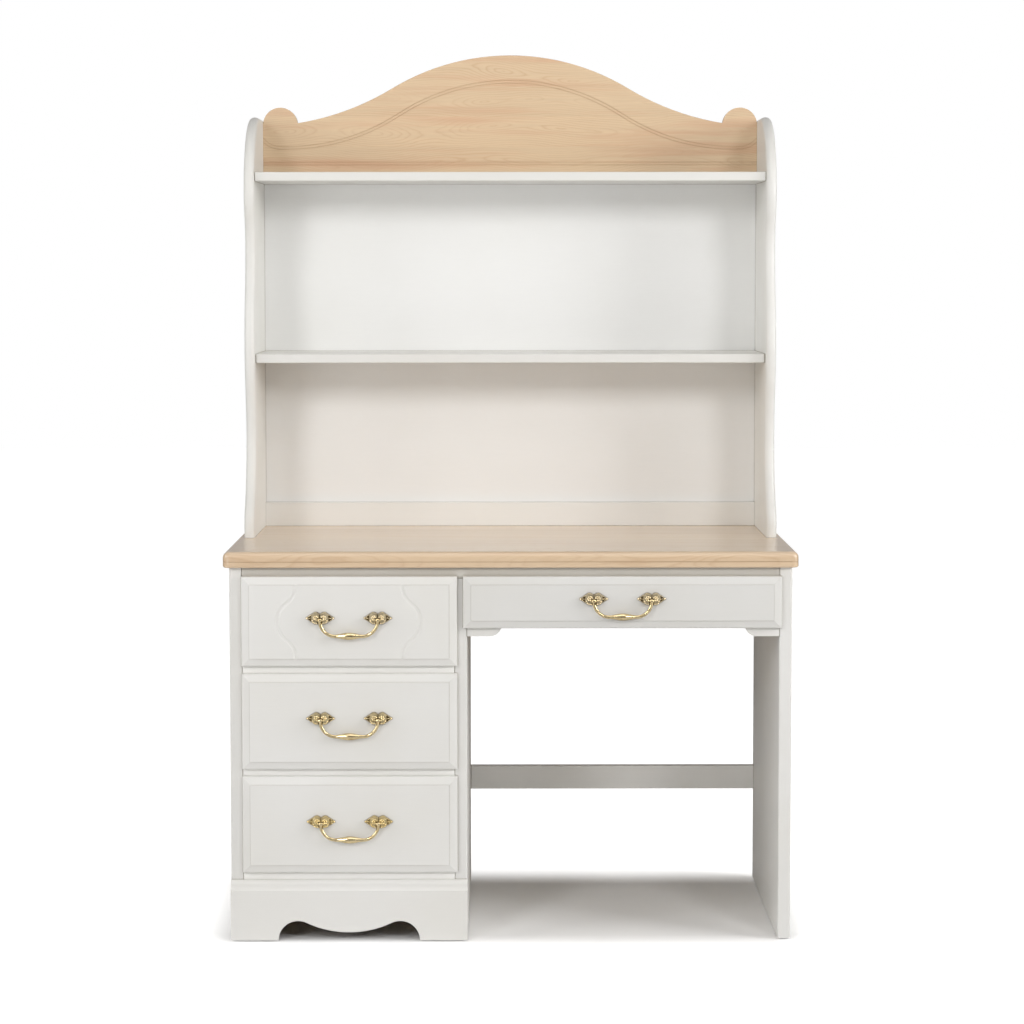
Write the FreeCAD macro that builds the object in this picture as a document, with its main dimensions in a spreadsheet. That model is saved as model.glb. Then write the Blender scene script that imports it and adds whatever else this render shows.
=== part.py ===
import FreeCAD, Part

import math
import os
import re

import Sketcher

# A student desk: a pedestal with three drawers, a pencil drawer over the kneehole,
# and a hutch with two shelves under an arched crest.
# Widths run along X, depths along Y from the sitter to the wall, heights along Z.
# Depths are counted from the front edges of the side panels, and place() moves them
# so that the origin is on the floor under the middle of the whole desk.

DIMENSIONS = {
    # desktop, with an ovolo over a bead on its front and ends
    "desk_height": 766.0,
    "desktop_width": 1118.0,
    "desktop_depth": 559.0,
    "desktop_thickness": 31.2,
    "desktop_overhang": 14.0,
    "desktop_corner": 13.5,
    "desktop_ovolo": 12.0,
    "desktop_bead": 11.3,
    "bead_round": 4.0,
    "quirk_height": 1.2,
    "quirk_depth": 1.5,
    # carcass
    "carcass_width": 1095.0,
    "carcass_depth": 533.0,
    "pedestal_width": 462.5,
    "panel_thickness": 25.0,
    "panel_round": 3.0,
    "back_thickness": 6.0,
    "rabbet": 8.0,
    "back_panel_bottom": 40.0,
    "glide_height": 3.0,
    "glide_diameter": 20.0,
    "glide_inset": 40.0,
    # rails
    "rail_thickness": 20.0,
    "rail_overlap": 3.0,
    "top_rail_height": 22.0,
    "bottom_rail_height": 40.0,
    "kneehole_rail_bottom": 622.0,
    "kneehole_rail_height": 18.0,
    "bracket_drop": 22.5,
    "bracket_flat": 46.0,
    "bracket_ogee": 36.0,
    "back_rail_height": 90.0,
    "stretcher_bottom": 198.5,
    "stretcher_height": 49.5,
    # glue blocks in the corners
    "block_side": 22.0,
    "block_length": 60.0,
    "block_front": 100.0,
    "block_back": 300.0,
    "block_rise": 20.0,
    # plinth with a scalloped foot
    "plinth_top": 121.0,
    "plinth_thickness": 14.0,
    "moulding_height": 20.0,
    "moulding_land": 3.5,
    "moulding_break": 9.3,
    "moulding_curve": 12.0,
    "moulding_lip": 1.0,
    "scallop_half_width": 138.3,
    "scallop_foot_radius": 38.5,
    "scallop_dip": 16.0,
    # drawer fronts, with a bevelled border round a raised field
    "front_thickness": 18.0,
    "front_edge": 11.3,
    "front_round": 4.0,
    "bevel_width": 16.0,
    "field_step": 1.8,
    "pedestal_front_left": -523.5,
    "pedestal_front_width": 419.5,
    "top_front_bottom": 542.4,
    "top_front_height": 175.6,
    "middle_front_bottom": 340.2,
    "middle_front_height": 187.8,
    "bottom_front_bottom": 136.5,
    "bottom_front_height": 189.7,
    "pencil_front_left": -93.0,
    "pencil_front_width": 619.5,
    "pencil_front_bottom": 616.4,
    "pencil_front_height": 101.6,
    # serpentine grooves on the top drawer
    "serpentine_neck": 103.0,
    "serpentine_belly": 139.0,
    "cutter_radius": 6.0,
    "cutter_depth": 1.5,
    # drawer boxes on side-hung hardwood runners
    "box_depth": 450.0,
    "box_gap": 6.0,
    "box_board": 12.0,
    "box_housing": 6.0,
    "pedestal_box_rise": 12.0,
    "pedestal_box_drop": 35.0,
    "pencil_box_rise": 26.6,
    "pencil_box_drop": 42.6,
    "bottom_thickness": 5.0,
    "bottom_rise": 8.0,
    "bottom_groove": 5.0,
    "groove_end_gap": 0.5,
    "runner_height": 16.0,
    "runner_width": 11.0,
    "runner_gap": 0.5,
    "runner_groove": 6.0,
    "runner_rise": 30.0,
    "runner_front": 24.0,
    "runner_length": 480.0,
    # cast bail pulls
    "pull_spacing": 112.0,
    "pull_rise": 7.8,
    "pull_projection": 11.0,
    "pivot_drop": 3.0,
    "bail_drop": 31.0,
    "bail_arm": 6.5,
    "bail_grip": 14.0,
    "bail_straight": 26.0,
    "eye_radius": 3.8,
    "eye_length": 8.0,
    "pin_radius": 1.5,
    "pin_clearance": 0.06,
    "pin_outer": 8.0,
    "pin_inner": 11.0,
    "rosette_half_width": 28.0,
    "rosette_plate": 3.0,
    "rosette_height": 14.0,
    "lobe_centre": 8.0,
    "lobe_rise": 3.5,
    "lobe_radius": 8.5,
    "lobe_draft": 2.5,
    "boss_radius": 5.5,
    "slot_outer": 4.5,
    "slot_inner": 7.5,
    "slot_top": 1.5,
    "slot_depth": 7.5,
    "screw_radius": 2.0,
    "screw_hole": 2.5,
    "screw_grip": 5.5,
    "screw_head_radius": 4.2,
    "screw_head_height": 2.5,
    # hutch
    "hutch_width": 1085.0,
    "hutch_back": 530.0,
    "hutch_height": 862.0,
    "hutch_side": 21.0,
    "bullnose": 9.5,
    "foot_front": 252.0,
    "foot_height": 24.0,
    "foot_share": 0.2,
    "lower_waist": 311.0,
    "lower_waist_height": 204.0,
    "lower_belly": 282.0,
    "lower_belly_height": 389.0,
    "upper_waist": 315.0,
    "upper_waist_height": 594.0,
    "upper_belly": 288.0,
    "upper_belly_height": 702.0,
    "shelf_front": 303.0,
    "shelf_thickness": 18.0,
    "shelf_round": 1.5,
    "shelf_corner": 2.5,
    "tongue": 5.0,
    "tongue_thickness": 8.0,
    "tongue_setback": 20.0,
    "middle_shelf_height": 355.0,
    "top_shelf_height": 726.0,
    "hutch_rail_height": 50.0,
    "hutch_rail_thickness": 12.0,
    "dowel_radius": 4.0,
    "dowel_clearance": 0.1,
    "dowel_half_length": 18.0,
    "dowel_front": 300.0,
    "dowel_back": 480.0,
    # arched crest with an ear at each end
    "crest_thickness": 20.0,
    "crest_height": 252.0,
    "crown_radius": 483.0,
    "crown_half_width": 248.8,
    "ear_height": 106.0,
    "ear_radius": 36.5,
    "notch_rise": 4.0,
    "crest_round": 2.0,
    "line_width": 1.6,
    "line_depth": 1.0,
    "line_gap": 6.0,
    "line_crown": 196.7,
    "line_foot": 58.0,
    "line_foot_half_width": 469.4,
    "line_ear_radius": 48.0,
    "line_ear_reach": 38.4,
    "straight_line_height": 24.9,
}

DOC = FreeCAD.newDocument("student_desk")
SHEET = DOC.addObject("Spreadsheet::Sheet", "Dimensions")


def fill_sheet():
    """Write each driving dimension into the sheet and name its cell."""
    for row, (name, number) in enumerate(DIMENSIONS.items(), 1):
        SHEET.set(f"A{row}", name)
        SHEET.set(f"B{row}", str(number))
        SHEET.setAlias(f"B{row}", name)
    DOC.recompute()


def formula(text):
    """Spell out each dimension name in the text as a cell of the sheet."""
    def cell(word):
        name = word.group()
        return f"{SHEET.Label}.{name}" if name in DIMENSIONS else name
    return re.sub(r"[a-z][a-z_]*", cell, str(text))


def value(text):
    """The present value of a formula, in millimetres or degrees."""
    number = SHEET.evalExpression(formula(text))
    return float(getattr(number, "Value", number))


def bind(item, prop, text):
    """Tie a property to a formula of the sheet's dimensions."""
    item.setExpression(prop, formula(text))


# Places that several sub-parts share.
LEFT = "(0 - carcass_width / 2)"
RIGHT = "(carcass_width / 2)"
INNER_LEFT = f"({LEFT} + panel_thickness)"
INNER_RIGHT = f"({RIGHT} - panel_thickness)"
PARTITION_RIGHT = f"({LEFT} + pedestal_width)"
PARTITION_LEFT = f"({PARTITION_RIGHT} - panel_thickness)"
PANEL_TOP = "(desk_height - desktop_thickness)"
DESKTOP_BACK = "(desktop_depth - desktop_overhang)"
PULL_REACH = "(front_thickness + pull_projection + bail_grip / 2)"
DEPTH_CENTRE = f"(({DESKTOP_BACK} - {PULL_REACH}) / 2)"
HUTCH_INNER = "(hutch_width - 2 * hutch_side)"
HUTCH_PANEL_FRONT = "(hutch_back - back_thickness)"
SHELF_TOP = "(top_shelf_height + shelf_thickness)"


def place(item, x, y, z):
    """Put a sub-part's own origin at a place of the desk."""
    bind(item, "Placement.Base.x", x)
    bind(item, "Placement.Base.y", f"{y} - {DEPTH_CENTRE}")
    bind(item, "Placement.Base.z", z)
    return item


def box(label, place_at, length, width, height):
    """A plain sawn board."""
    board = DOC.addObject("Part::Box", label)
    bind(board, "Length", length)
    bind(board, "Width", width)
    bind(board, "Height", height)
    return place(board, *place_at)


def cylinder(label, radius, length, axis=None):
    """A round piece that starts at its own origin and runs along Z, X or Y."""
    rod = DOC.addObject("Part::Cylinder", label)
    bind(rod, "Radius", radius)
    bind(rod, "Height", length)
    if axis is not None:
        rod.Placement = FreeCAD.Placement(FreeCAD.Vector(), FreeCAD.Rotation(FreeCAD.Vector(0, 0, 1), axis))
    return rod


def group(label, members):
    """Several separate solids, or one placed copy, as a single sub-part."""
    cluster = DOC.addObject("Part::Compound", label)
    cluster.Links = members
    return cluster


def mirrored(label, source):
    """The opposite hand of a sub-part, across the plane X = 0."""
    twin = DOC.addObject("Part::Mirroring", label)
    twin.Source = source
    twin.Normal = FreeCAD.Vector(1, 0, 0)
    return twin


def new_body(label, x, y, z):
    """An empty body at its place."""
    return place(DOC.addObject("PartDesign::Body", label), x, y, z)


def origin_plane(body, role):
    return next(feature for feature in body.Origin.OriginFeatures if feature.Role == role)


def new_sketch(body, role, offset="0"):
    """A sketch parallel to one of the body's own origin planes."""
    sketch = body.newObject("Sketcher::SketchObject", "profile")
    sketch.AttachmentSupport = (origin_plane(body, role), [""])
    sketch.MapMode = "FlatFace"
    bind(sketch, "AttachmentOffset.Base.z", offset)
    return sketch


def arc_between(start, end, radius):
    """The short arc from start to end; a radius under zero turns clockwise."""
    chord = end - start
    size = abs(radius)
    rise = math.sqrt(max(size ** 2 - (chord.Length / 2) ** 2, 0))
    side = FreeCAD.Vector(-chord.y, chord.x, 0).normalize() * math.copysign(rise, radius)
    centre = start + chord / 2 + side
    first, last = (start, end) if radius > 0 else (end, start)
    angles = [math.atan2(point.y - centre.y, point.x - centre.x) for point in (first, last)]
    circle = Part.Circle(centre, FreeCAD.Vector(0, 0, 1), size)
    return Part.ArcOfCircle(circle, angles[0], angles[1])


def pin_down(sketch, edge, end, corner):
    """Hold one end of an edge at a corner given by two formulas."""
    for kind, text in zip(("DistanceX", "DistanceY"), corner):
        index = sketch.addConstraint(Sketcher.Constraint(kind, -1, 1, edge, end, value(text)))
        sketch.setExpression(f"Constraints[{index}]", formula(text))


def draw(sketch, corners, closed=True):
    """Draw an outline through corners (u, v) or (u, v, radius).

    The radius belongs to the arc that leaves the corner: over zero it turns left,
    under zero right, and a corner without one is left by a straight line.
    """
    points = [FreeCAD.Vector(value(corner[0]), value(corner[1]), 0) for corner in corners]
    count = len(corners) if closed else len(corners) - 1
    ends = []
    for index in range(count):
        start = points[index]
        end = points[(index + 1) % len(points)]
        if len(corners[index]) == 2:
            edge = sketch.addGeometry(Part.LineSegment(start, end))
            ends.append((edge, 1, 2))
            continue
        radius = value(corners[index][2])
        edge = sketch.addGeometry(arc_between(start, end, radius))
        ends.append((edge, 1, 2) if radius > 0 else (edge, 2, 1))
        limit = sketch.addConstraint(Sketcher.Constraint("Radius", edge, abs(radius)))
        sketch.setExpression(f"Constraints[{limit}]", formula(f"abs({corners[index][2]})"))
    for index, (edge, first, last) in enumerate(ends):
        pin_down(sketch, edge, first, corners[index][:2])
        if index + 1 < count or closed:
            follower, its_first, _ = ends[(index + 1) % count]
            sketch.addConstraint(Sketcher.Constraint("Coincident", edge, last, follower, its_first))
        else:
            pin_down(sketch, edge, last, corners[-1][:2])
    return sketch


def rectangle(u_low, v_low, u_high, v_high):
    """The corners of a rectangle, for draw()."""
    return [(u_low, v_low), (u_high, v_low), (u_high, v_high), (u_low, v_high)]


def circle(sketch, u, v, radius):
    """A circle held by its centre and radius."""
    centre = FreeCAD.Vector(value(u), value(v), 0)
    edge = sketch.addGeometry(Part.Circle(centre, FreeCAD.Vector(0, 0, 1), value(radius)))
    limit = sketch.addConstraint(Sketcher.Constraint("Radius", edge, value(radius)))
    sketch.setExpression(f"Constraints[{limit}]", formula(radius))
    pin_down(sketch, edge, 3, (u, v))
    return sketch


def pad(body, sketch, length):
    """Raise a sketch towards its own normal."""
    feature = body.newObject("PartDesign::Pad", "pad")
    feature.Profile = sketch
    bind(feature, "Length", length)


def pocket(body, sketch, depth=None, towards_normal=False):
    """Cut a sketch to a depth, or right through both ways, and see that it cuts."""
    DOC.recompute()
    before = body.Shape.Volume
    feature = body.newObject("PartDesign::Pocket", "pocket")
    feature.Profile = sketch
    if depth is None:
        feature.Type = "ThroughAll"
        feature.Midplane = True
    else:
        bind(feature, "Length", depth)
        feature.Reversed = towards_normal
    DOC.recompute()
    if not body.Shape.Volume < before:
        raise RuntimeError(f"a pocket of {body.Label} cuts nothing")


def along(edge, axis, place_at):
    """Whether every end of an edge lies at a place along one axis."""
    return all(abs(getattr(vertex.Point, axis) - place_at) < 0.01 for vertex in edge.Vertexes)


def level(edge):
    """Whether an edge lies in one level plane."""
    return along(edge, "z", edge.Vertexes[0].Z)


def fillet(body, wanted, radius):
    """Round the edges of the body that the test picks out."""
    DOC.recompute()
    base = body.Tip
    names = [f"Edge{number}" for number, edge in enumerate(base.Shape.Edges, 1) if wanted(edge)]
    feature = body.newObject("PartDesign::Fillet", "fillet")
    feature.Base = (base, names)
    bind(feature, "Radius", radius)


def make_desktop():
    """The solid top: an ovolo over a quirk and a bead on three edges, and dowel holes."""
    body = new_body("desktop", "0 - desktop_width / 2", "0 - desktop_overhang", PANEL_TOP)
    outline = [
        ("desktop_corner", "0"),
        ("desktop_width - desktop_corner", "0", "desktop_corner"),
        ("desktop_width", "desktop_corner"),
        ("desktop_width", "desktop_depth"),
        ("0", "desktop_depth"),
        ("0", "desktop_corner", "desktop_corner"),
    ]
    pad(body, draw(new_sketch(body, "XY_Plane"), outline), "desktop_thickness")

    clear = 5
    quirk = [
        (f"0 - {clear}", f"desktop_depth + {clear}"),
        (f"0 - {clear}", f"0 - {clear}"),
        (f"desktop_width + {clear}", f"0 - {clear}"),
        (f"desktop_width + {clear}", f"desktop_depth + {clear}"),
        ("desktop_width - quirk_depth", f"desktop_depth + {clear}"),
        ("desktop_width - quirk_depth", "desktop_corner", "quirk_depth - desktop_corner"),
        ("desktop_width - desktop_corner", "quirk_depth"),
        ("desktop_corner", "quirk_depth", "quirk_depth - desktop_corner"),
        ("quirk_depth", "desktop_corner"),
        ("quirk_depth", f"desktop_depth + {clear}"),
    ]
    pocket(body, draw(new_sketch(body, "XY_Plane", "desktop_bead + quirk_height"), quirk), "quirk_height")

    depth = value("desktop_depth")
    for height, size in ((value("desktop_thickness"), "desktop_ovolo"), (0.0, "bead_round")):
        fillet(body, lambda edge: along(edge, "z", height) and not along(edge, "y", depth), size)

    holes = new_sketch(body, "XY_Plane", "desktop_thickness")
    for side in ("-", "+"):
        x = f"desktop_width / 2 {side} (hutch_width - hutch_side) / 2"
        for y in ("dowel_front", "dowel_back"):
            circle(holes, x, f"{y} + desktop_overhang", "dowel_radius + dowel_clearance")
    pocket(body, holes, "dowel_half_length")
    return [body]


def upright(label, x, outline):
    """A floor-to-desktop panel with its two front arrises eased."""
    body = new_body(label, x, "0", "glide_height")
    pad(body, draw(new_sketch(body, "XY_Plane"), outline), f"{PANEL_TOP} - glide_height")
    fillet(body, lambda edge: along(edge, "y", 0.0) and not level(edge), "panel_round")
    return body


def make_uprights():
    """The two end panels and the partition; the pedestal's two are rabbeted for its back."""
    left = upright("left_side_panel", LEFT, [
        ("0", "0"),
        ("panel_thickness", "0"),
        ("panel_thickness", "carcass_depth - back_thickness"),
        ("panel_thickness - rabbet", "carcass_depth - back_thickness"),
        ("panel_thickness - rabbet", "carcass_depth"),
        ("0", "carcass_depth"),
    ])
    partition = upright("partition_panel", PARTITION_LEFT, [
        ("0", "0"),
        ("panel_thickness", "0"),
        ("panel_thickness", "carcass_depth"),
        ("rabbet", "carcass_depth"),
        ("rabbet", "carcass_depth - back_thickness"),
        ("0", "carcass_depth - back_thickness"),
    ])
    top = f"{PANEL_TOP} - glide_height"
    notch = rectangle("0 - rail_thickness", f"{top} - top_rail_height",
                      "rail_thickness", f"{top} + rail_thickness")
    pocket(partition, draw(new_sketch(partition, "YZ_Plane"), notch))
    right = upright("right_end_panel", INNER_RIGHT,
                    rectangle("0", "0", "panel_thickness", "carcass_depth"))
    return [left, partition, right]


def make_rails():
    """The rails between the uprights, the stretcher and the pedestal's thin back."""
    pedestal = f"{PARTITION_LEFT} - {INNER_LEFT}"
    kneehole = f"{INNER_RIGHT} - {PARTITION_RIGHT}"
    rails = [box("top_rail", (INNER_LEFT, "0", f"{PANEL_TOP} - top_rail_height"),
                 f"{INNER_RIGHT} - {INNER_LEFT}", "rail_thickness", "top_rail_height")]
    for label, below, above in (("upper", "middle", "top"), ("lower", "bottom", "middle")):
        low = f"({below}_front_bottom + {below}_front_height - rail_overlap)"
        rails.append(box(f"{label}_drawer_rail", (INNER_LEFT, "0", low), pedestal, "rail_thickness",
                         f"{above}_front_bottom + rail_overlap - {low}"))
    low = "bottom_front_bottom + rail_overlap - bottom_rail_height"
    rails.append(box("bottom_rail", (INNER_LEFT, "0", low), pedestal, "rail_thickness", "bottom_rail_height"))
    rear = "carcass_depth - rail_thickness"
    rails.append(box("kneehole_back_rail", (PARTITION_RIGHT, rear, f"{PANEL_TOP} - back_rail_height"),
                     kneehole, "rail_thickness", "back_rail_height"))
    rails.append(box("back_stretcher", (PARTITION_RIGHT, rear, "stretcher_bottom"),
                     kneehole, "rail_thickness", "stretcher_height"))
    rails.append(box("pedestal_back_panel",
                     (f"{INNER_LEFT} - rabbet", "carcass_depth - back_thickness", "back_panel_bottom"),
                     f"{pedestal} + 2 * rabbet", "back_thickness", f"{PANEL_TOP} - back_panel_bottom"))
    return rails


def make_kneehole_rail():
    """The rail under the pencil drawer, with an ogee bracket at each end."""
    body = new_body("kneehole_rail", PARTITION_RIGHT, "rail_thickness", "kneehole_rail_bottom - bracket_drop")
    span = f"({INNER_RIGHT} - {PARTITION_RIGHT})"
    radius = "((bracket_ogee ^ 2 + bracket_drop ^ 2) / (4 * bracket_drop))"
    top = "bracket_drop + kneehole_rail_height"
    middle = "bracket_flat + bracket_ogee / 2"
    inner = "bracket_flat + bracket_ogee"
    outline = [
        ("0", "0"),
        ("bracket_flat", "0", radius),
        (middle, "bracket_drop / 2", f"0 - {radius}"),
        (inner, "bracket_drop"),
        (f"{span} - ({inner})", "bracket_drop", f"0 - {radius}"),
        (f"{span} - ({middle})", "bracket_drop / 2", radius),
        (f"{span} - bracket_flat", "0"),
        (span, "0"),
        (span, top),
        ("0", top),
    ]
    pad(body, draw(new_sketch(body, "XZ_Plane"), outline), "rail_thickness")
    return [body]


def make_plinth():
    """The pedestal's foot board: a scallop of three tangent arcs, and a moulded top edge."""
    body = new_body("plinth", LEFT, "0", "glide_height")
    centre = "(pedestal_width / 2)"
    foot = "(scallop_half_width - scallop_foot_radius)"
    sweep = (f"(({foot} ^ 2 + scallop_dip ^ 2 - scallop_foot_radius ^ 2)"
             " / (2 * (scallop_foot_radius - scallop_dip)))")
    share = f"(scallop_foot_radius / ({sweep} + scallop_foot_radius))"
    touch_u = f"({foot} * (1 - {share}))"
    touch_v = f"({share} * (scallop_dip + {sweep}))"
    top = "(plinth_top - glide_height)"
    outline = [
        ("0", "0"),
        (f"{centre} - scallop_half_width", "0", "0 - scallop_foot_radius"),
        (f"{centre} - {foot}", "scallop_foot_radius", "0 - scallop_foot_radius"),
        (f"{centre} - {touch_u}", touch_v, sweep),
        (f"{centre} + {touch_u}", touch_v, "0 - scallop_foot_radius"),
        (f"{centre} + {foot}", "scallop_foot_radius", "0 - scallop_foot_radius"),
        (f"{centre} + scallop_half_width", "0"),
        ("pedestal_width", "0"),
        ("pedestal_width", top),
        ("0", top),
    ]
    pad(body, draw(new_sketch(body, "XZ_Plane"), outline), "plinth_thickness")

    foot_of_moulding = f"{top} - moulding_height"
    waste = [
        ("0 - moulding_land", f"{top} + moulding_land"),
        ("0 - moulding_land", top, "moulding_curve"),
        ("0 - moulding_break", f"{top} - moulding_height / 2", "0 - moulding_curve"),
        ("moulding_lip - plinth_thickness", f"{foot_of_moulding} + moulding_lip"),
        ("0 - plinth_thickness", foot_of_moulding),
        ("0 - 2 * plinth_thickness", foot_of_moulding),
        ("0 - 2 * plinth_thickness", f"{top} + moulding_land"),
    ]
    pocket(body, draw(new_sketch(body, "YZ_Plane"), waste))
    return [body]


def hutch_side_outline():
    """The side's outline: a foot, two waists, two bellies and a rounded shoulder."""
    def ogee(u_low, v_low, u_high, v_high):
        """The radius of two equal arcs that leave both corners upright."""
        return f"((({u_high} - {u_low}) ^ 2 + ({v_high} - {v_low}) ^ 2) / (4 * abs({u_high} - {u_low})))"

    def halfway(u_low, v_low, u_high, v_high):
        return f"({u_low} + {u_high}) / 2", f"({v_low} + {v_high}) / 2"

    stations = [("lower_waist", "lower_waist_height"), ("lower_belly", "lower_belly_height"),
                ("upper_waist", "upper_waist_height"), ("upper_belly", "upper_belly_height")]
    shoulder = "(hutch_height - upper_belly_height)"
    outline = [("hutch_back", "0"), ("hutch_back", "hutch_height")]
    outline.append((f"upper_belly + {shoulder}", "hutch_height", shoulder))
    for upper, lower in zip(stations[:0:-1], stations[-2::-1]):
        radius = ogee(*lower, *upper)
        turn = f"{radius}" if value(f"{upper[0]} - {lower[0]}") < 0 else f"0 - {radius}"
        back = f"0 - {radius}" if value(f"{upper[0]} - {lower[0]}") < 0 else radius
        outline.append((*upper, turn))
        outline.append((*halfway(*lower, *upper), back))
    cove_u = "(lower_waist - foot_front)"
    cove_v = "(lower_waist_height - foot_height)"
    cove = f"(({cove_u} ^ 2 + {cove_v} ^ 2) / (2 * {cove_u}))"
    outline.append((*stations[0], f"0 - {cove} * (1 - foot_share)"))
    outline.append((f"foot_front + foot_share * {cove_u}", f"foot_height + foot_share * {cove_v}",
                    f"{cove} * foot_share"))
    outline.append(("foot_front", "foot_height"))
    outline.append(("foot_front", "0"))
    return outline


def make_hutch_sides():
    """The shaped sides, bullnosed in front, housed for the shelves and rabbeted behind."""
    body = new_body("hutch_left_side", "0 - hutch_width / 2", "0", "desk_height")
    pad(body, draw(new_sketch(body, "YZ_Plane"), hutch_side_outline()), "hutch_side")
    back = value("hutch_back")

    def shaped(edge):
        on_face = along(edge, "x", 0.0) or along(edge, "x", value("hutch_side"))
        return on_face and not along(edge, "y", back) and not along(edge, "z", 0.0)

    fillet(body, shaped, "bullnose")
    rabbet = rectangle(HUTCH_PANEL_FRONT, "0", "hutch_back", SHELF_TOP)
    pocket(body, draw(new_sketch(body, "YZ_Plane", "hutch_side"), rabbet), "back_thickness")
    housings = new_sketch(body, "YZ_Plane", "hutch_side")
    for shelf in ("middle_shelf_height", "top_shelf_height"):
        low = f"{shelf} + (shelf_thickness - tongue_thickness) / 2"
        high = f"{low} + tongue_thickness"
        draw(housings, rectangle("shelf_front + tongue_setback", low, HUTCH_PANEL_FRONT, high))
    pocket(body, housings, "tongue")
    holes = new_sketch(body, "XY_Plane")
    for y in ("dowel_front", "dowel_back"):
        circle(holes, "hutch_side / 2", y, "dowel_radius + dowel_clearance")
    pocket(body, holes, "dowel_half_length", towards_normal=True)
    return [body, mirrored("hutch_right_side", body)]


def make_shelf(label, height):
    """A shelf with a bullnose front, rounded corners and a tongue at each end."""
    body = new_body(label, f"0 - {HUTCH_INNER} / 2", "shelf_front", f"desk_height + {height}")
    depth = f"({HUTCH_PANEL_FRONT} - shelf_front)"
    pad(body, draw(new_sketch(body, "XY_Plane"), rectangle("0", "0", HUTCH_INNER, depth)), "shelf_thickness")
    fillet(body, lambda edge: along(edge, "y", 0.0) and not level(edge), "shelf_corner")
    ahead = value("tongue_setback")
    fillet(body, lambda edge: edge.BoundBox.YMax < ahead and level(edge), "shelf_round")
    tongue = rectangle("0 - tongue", "tongue_setback", f"{HUTCH_INNER} + tongue", depth)
    sketch = new_sketch(body, "XY_Plane", "(shelf_thickness - tongue_thickness) / 2")
    pad(body, draw(sketch, tongue), "tongue_thickness")
    return body


def make_hutch_back():
    """The thin back in the sides' rabbets, and the rail across its foot."""
    left = f"0 - {HUTCH_INNER} / 2"
    panel = box("hutch_back_panel", (f"{left} - back_thickness", HUTCH_PANEL_FRONT, "desk_height"),
                f"{HUTCH_INNER} + 2 * back_thickness", "back_thickness", SHELF_TOP)
    rail = box("hutch_bottom_rail", (left, f"{HUTCH_PANEL_FRONT} - hutch_rail_thickness", "desk_height"),
               HUTCH_INNER, "hutch_rail_thickness", "hutch_rail_height")
    return [panel, rail]


def crest_outline():
    """The crest: a crown arc, a hollow tangent to it on each side, and a round ear at each end."""
    notch_u = "(hutch_width / 2 - hutch_side - ear_radius - sqrt(ear_radius ^ 2 - notch_rise ^ 2))"
    notch_v = "(ear_height + notch_rise)"
    turn_v = "(crest_height - crown_radius + sqrt(crown_radius ^ 2 - crown_half_width ^ 2))"
    run = f"({notch_u} - crown_half_width)"
    fall = f"({notch_v} - {turn_v})"
    lean = "(crown_half_width / crown_radius)"
    hollow = f"(({run} ^ 2 + {fall} ^ 2) / (2 * ({run} * {lean} + {fall} * sqrt(1 - {lean} ^ 2))))"
    end = f"({HUTCH_INNER} / 2)"
    return [
        (f"0 - {end}", "0"),
        (end, "0"),
        (end, "ear_height", "ear_radius"),
        (f"{end} - ear_radius", "ear_height + ear_radius", "ear_radius"),
        (notch_u, notch_v, f"0 - {hollow}"),
        ("crown_half_width", turn_v, "crown_radius"),
        ("0 - crown_half_width", turn_v, f"0 - {hollow}"),
        (f"0 - {notch_u}", notch_v, "ear_radius"),
        (f"ear_radius - {end}", "ear_height + ear_radius", "ear_radius"),
        (f"0 - {end}", "ear_height"),
    ]


def make_crest():
    """The arched crest, with a pair of routed lines that follow the arch and a straight pair below."""
    body = new_body("arch_panel", "0", "hutch_back", f"desk_height + {SHELF_TOP}")
    pad(body, draw(new_sketch(body, "XZ_Plane"), crest_outline()), "crest_thickness")
    front = -value("crest_thickness")
    ear_top = value("ear_height")
    inside_ears = value(f"{HUTCH_INNER} / 2 - 2 * ear_radius")

    def arch(edge):
        bounds = edge.BoundBox
        return along(edge, "y", front) and bounds.ZMin > ear_top and abs(bounds.Center.x) < inside_ears

    fillet(body, arch, "crest_round")

    face = "crest_thickness"
    for side in ("-", "+"):
        low = f"(straight_line_height {side} line_gap / 2 - line_width / 2)"
        straight = rectangle(f"0 - {HUTCH_INNER}", low, HUTCH_INNER, f"{low} + line_width")
        pocket(body, draw(new_sketch(body, "XZ_Plane", face), straight), "line_depth")

    rise = "(line_crown - line_foot)"
    sweep = f"((line_foot_half_width ^ 2 + {rise} ^ 2) / (4 * {rise}))"
    ear = f"({HUTCH_INNER} / 2 - ear_radius)"
    path = [
        ("0", "line_crown", f"0 - {sweep}"),
        ("line_foot_half_width / 2", "(line_crown + line_foot) / 2", sweep),
        ("line_foot_half_width", "line_foot"),
        (ear, "line_foot", "line_ear_radius"),
        (f"{ear} + line_ear_reach",
         "line_foot + line_ear_radius - sqrt(line_ear_radius ^ 2 - line_ear_reach ^ 2)"),
    ]
    spine = draw(new_sketch(body, "XZ_Plane", face), path, closed=False)
    for side in ("-", "+"):
        low = f"(line_crown {side} line_gap / 2 - line_width / 2)"
        section = rectangle("0 - crest_thickness - 1", low,
                            "line_depth - crest_thickness", f"{low} + line_width")
        cutter = draw(new_sketch(body, "YZ_Plane"), section)
        DOC.recompute()
        groove = body.newObject("PartDesign::SubtractivePipe", "routed_line")
        groove.Profile = cutter
        groove.Spine = (spine, [])
        DOC.recompute()
        mirror_feature(body, groove)
    return [body]


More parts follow.
